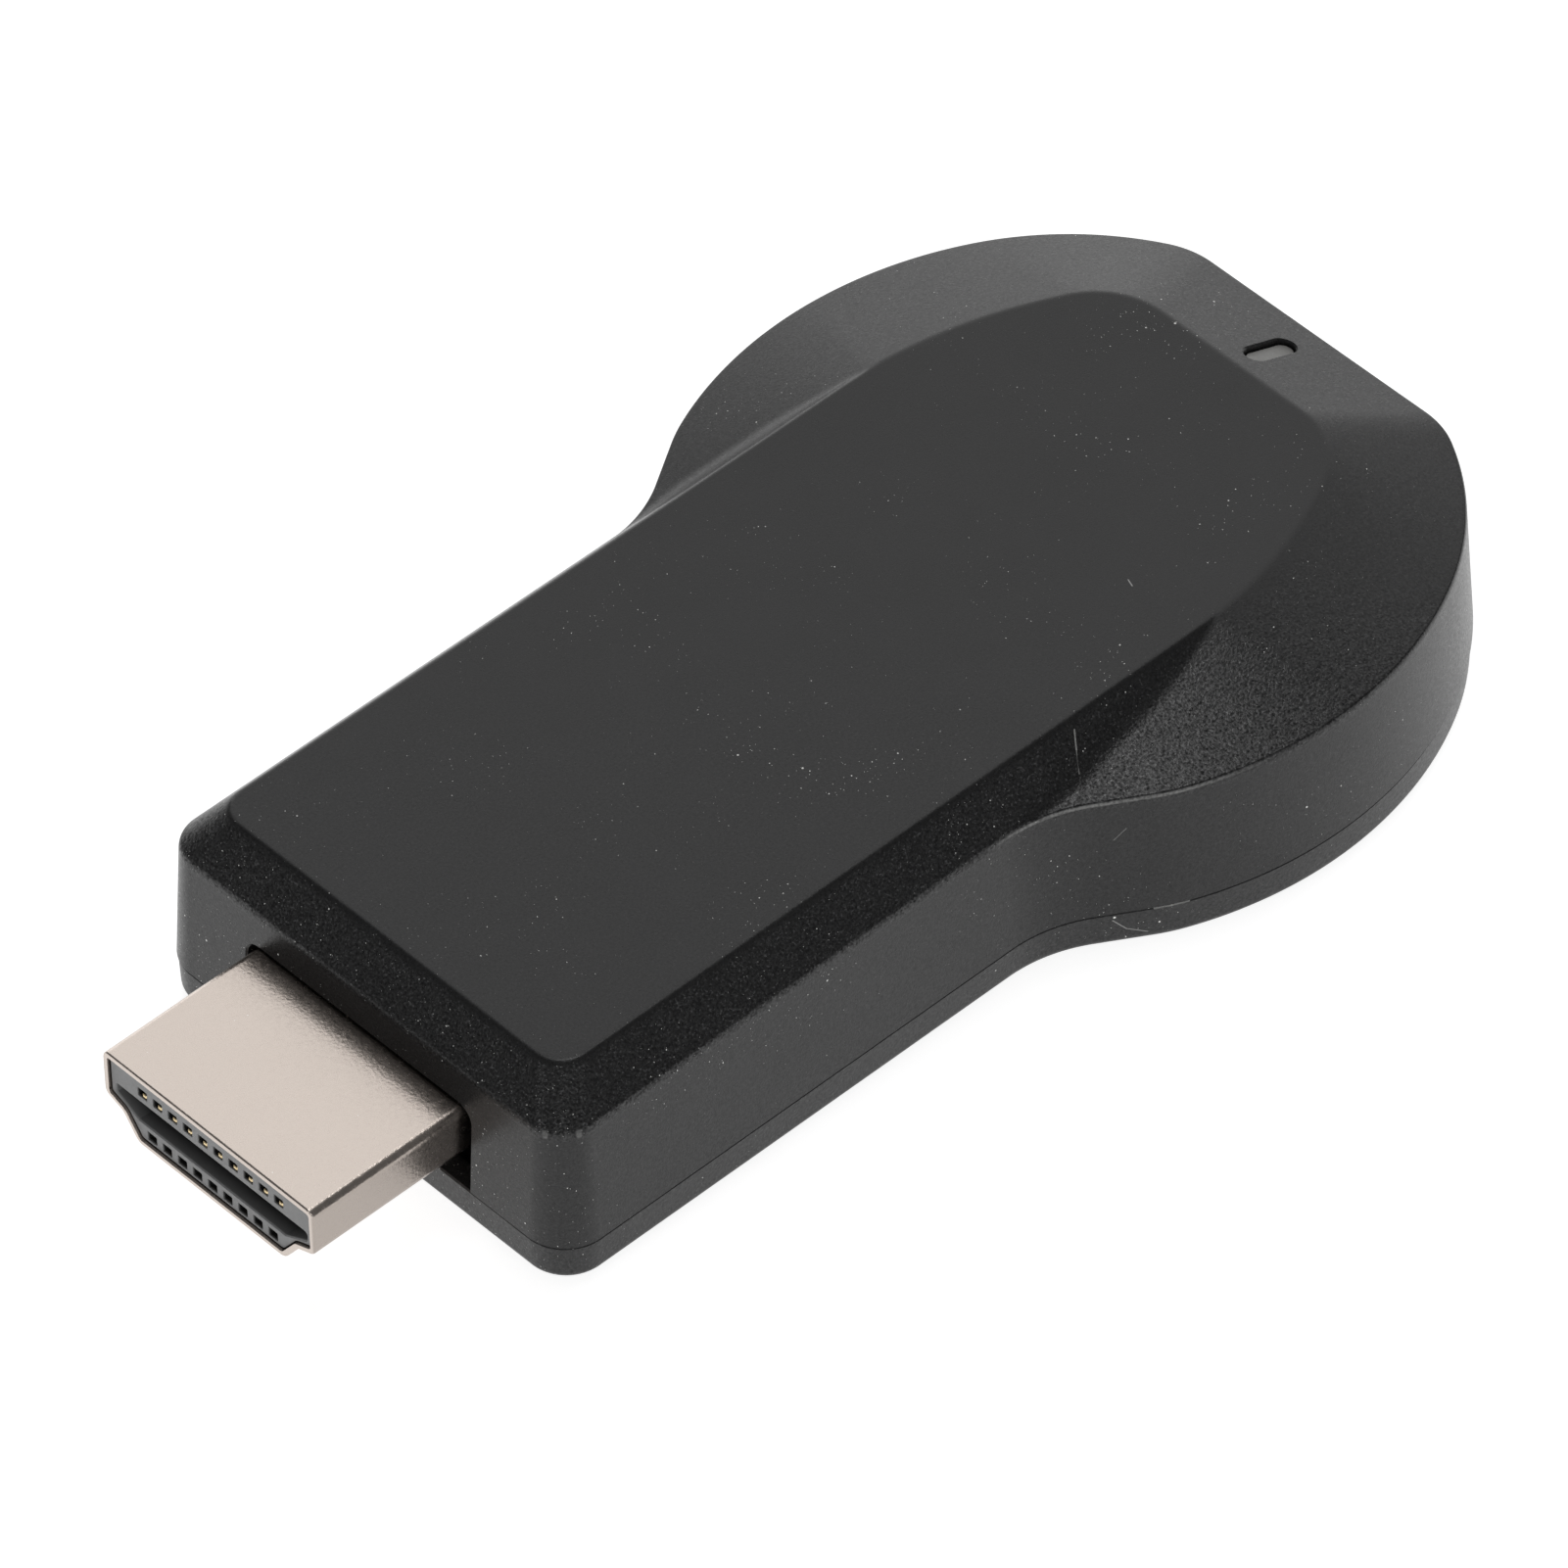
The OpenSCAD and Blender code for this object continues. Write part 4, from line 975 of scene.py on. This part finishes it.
# The finish of each material slot
finishes = {
    "housing_plastic": moulded("charcoal_grain", (0.0125, 0.0125, 0.0128), 0.31, calm=grain_and_painted_sparkle,
                               marks=upper_marks_and_highlights, painted_highlight=rim_painted_highlight),
    "cover_plastic": moulded("charcoal_cover", (0.015, 0.015, 0.0153), 0.36, marks=lower_marks),
    "button_plastic": moulded("charcoal_satin", (0.012, 0.012, 0.0123), 0.36, grain=0.4, dust=0),
    "light_plastic": plain_plastic("frosted_light", (0.2, 0.198, 0.19), 0.42, pitch=0.12, relief=0.01),
    "nickel_plate": plated("nickel", (0.585, 0.516, 0.466), 0.25, relief=0.009, flank=plug_w / 2 - 0.05),
    "insulator_plastic": insulator("grey_block", (0.2, 0.201, 0.202), 0.45),
    "gold_plate": plated("gold_flash", (0.78, 0.62, 0.36), 0.3),
    "board_laminate": laminate("solder_mask"),
    "chip_plastic": plain_plastic("black_compound", (0.02, 0.02, 0.022), 0.55),
    "pad_rubber": plain_plastic("soft_pad", (0.3, 0.42, 0.5), 0.8),
    "sink_aluminium": plated("extruded_aluminium", (0.82, 0.83, 0.84), 0.35),
    "tin_plate": plated("tinned_steel", (0.72, 0.72, 0.7), 0.3),
    "white_ceramic": plain_plastic("white_ceramic", (0.78, 0.78, 0.75), 0.35),
    "tan_ceramic": plain_plastic("tan_ceramic", (0.45, 0.3, 0.17), 0.4),
    "ferrite": plain_plastic("dark_ferrite", (0.07, 0.07, 0.075), 0.6),
    "socket_plastic": plain_plastic("socket_black", (0.015, 0.015, 0.015), 0.45),
    "plunger_plastic": plain_plastic("ivory", (0.75, 0.72, 0.62), 0.45),
}


def dress(piece, slot):
    piece.data.materials.clear()
    piece.data.materials.append(finishes[slot].material)


# The CAD nodes: each takes its slot's finish, and a fine bevel on its edges
slots = {row["node"]: row["material_slot"] for row in frame["record"]["subparts"]}
for name, node in frame["nodes"].items():
    dress(node, slots[name])
    weld = node.modifiers.new("weld", "WELD")
    weld.merge_threshold = weld_gap * MM
    flat = node.modifiers.new("flat", "DECIMATE")
    flat.decimate_type = "DISSOLVE"
    flat.angle_limit = math.radians(flat_turn)
    bevel = node.modifiers.new("edges", "BEVEL")
    bevel.width = fine_bevel * MM
    bevel.segments = 2
    bevel.limit_method = "ANGLE"
    bevel.angle_limit = math.radians(bevel_turn)
    bevel.use_clamp_overlap = True

# The pieces that replace CAD nodes, and the contacts' ends, which come on top of theirs
replacements = {
    "upper_housing": [upper_shell()],
    "lower_housing": [lower_shell()],
    "plug_shell": [plug_tube(), plug_tab("plug_tab_near", -1), plug_tab("plug_tab_far", 1)],
    "plug_insulator": [plug_block()],
}
for name, pieces in replacements.items():
    for piece in pieces:
        dress(piece, slots[name])
        flatten(piece)
        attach(piece, "housing")
        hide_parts(name)

tips = contact_tips()
tip_slot = slots["plug_contacts_upper"]
dress(tips, tip_slot)
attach(tips, "housing")


# Floor, light and camera

def floor():
    """A white floor that glows, so that it shows as white as the photograph's."""
    paint = Paint("white_floor", (0.5, 0.5, 0.5), 0.9)
    paint.colour(paint.mix(paint.noise(60), (0.49, 0.49, 0.49), (0.51, 0.51, 0.51)))
    paint.shader.inputs["Specular IOR Level"].default_value = 0
    paint.shader.inputs["Emission Color"].default_value = (1, 1, 1, 1)
    paint.shader.inputs["Emission Strength"].default_value = floor_glow
    corners = [(floor_half * x, floor_half * y, 0) for x, y in ((-1, -1), (1, -1), (1, 1), (-1, 1))]
    piece = mesh_object("floor", corners, [(0, 1, 2, 3)])
    piece.data.materials.append(paint.material)


def axes(azimuth, elevation):
    """Right, up and back of something that faces the object from this direction, in degrees."""
    level, rise = toward(elevation)
    x, y = toward(azimuth)
    back = np.array([level * x, level * y, rise])
    right = np.array([-y, x, 0])
    return right, np.cross(back, right), back


def put(name, data, place, right, up, back):
    """A lamp or camera at a place in metres, turned to its axes."""
    piece = bpy.data.objects.new(name, data)
    turn = Matrix(np.column_stack([right, up, back]).tolist()).to_4x4()
    piece.matrix_world = Matrix.Translation(place) @ turn
    bpy.context.scene.collection.objects.link(piece)
    return piece


def soft_box(name, azimuth, elevation, distance, width, height, power):
    """A rectangular light at a direction from the object's middle, facing it. Lengths in metres."""
    lamp = bpy.data.lights.new(name, "AREA")
    lamp.shape = "RECTANGLE"
    lamp.size = width
    lamp.size_y = height
    lamp.energy = power
    right, up, back = axes(azimuth, elevation)
    piece = put(name, lamp, back * distance, right, up, back)
    piece.visible_camera = False


def surroundings():
    world = bpy.data.worlds.new("studio")
    world.use_nodes = True
    world.node_tree.nodes["Background"].inputs["Color"].default_value = (1, 1, 1, 1)
    world.node_tree.nodes["Background"].inputs["Strength"].default_value = world_glow
    bpy.context.scene.world = world


def camera():
    right, up, back = axes(view_azimuth, view_elevation)
    c, s = toward(view_roll)
    right, up = c * right + s * up, c * up - s * right
    place = back * view_distance + right * view_aim[0] + up * view_aim[1] - [view_offset, 0, 0]
    lens = bpy.data.cameras.new("photo_camera")
    lens.lens = view_lens
    lens.sensor_width = view_film
    lens.sensor_height = view_film
    lens.clip_start = view_clip[0]
    lens.clip_end = view_clip[1]
    bpy.context.scene.camera = put("photo_camera", lens, place * MM, right, up, back)


# The lights, each as azimuth, elevation, distance, width, height and power, with lengths in metres
soft_boxes = {
    "overhead_box": (33, 80, 1.2, 0.45, 0.45, 3),
    "back_panel": (42, 41, 1.2, 1.9, 1.0, 6.2),
    "low_panel": (51, 9, 1.3, 1.2, 0.45, 2.4),
    "left_fill": (176, 20, 1.2, 0.12, 0.4, 0.9),
    "right_fill": (275, 20, 1.2, 0.12, 0.4, 0.6),
    "front_fill": (227, 32, 1.2, 1.0, 0.4, 1.5),
    "front_strip": (238, 4, 1.3, 1.6, 0.16, 1.6),
}
floor()
for name, settings in soft_boxes.items():
    soft_box(name, *settings)
surroundings()
bpy.context.scene.view_settings.view_transform = "Standard"
camera()
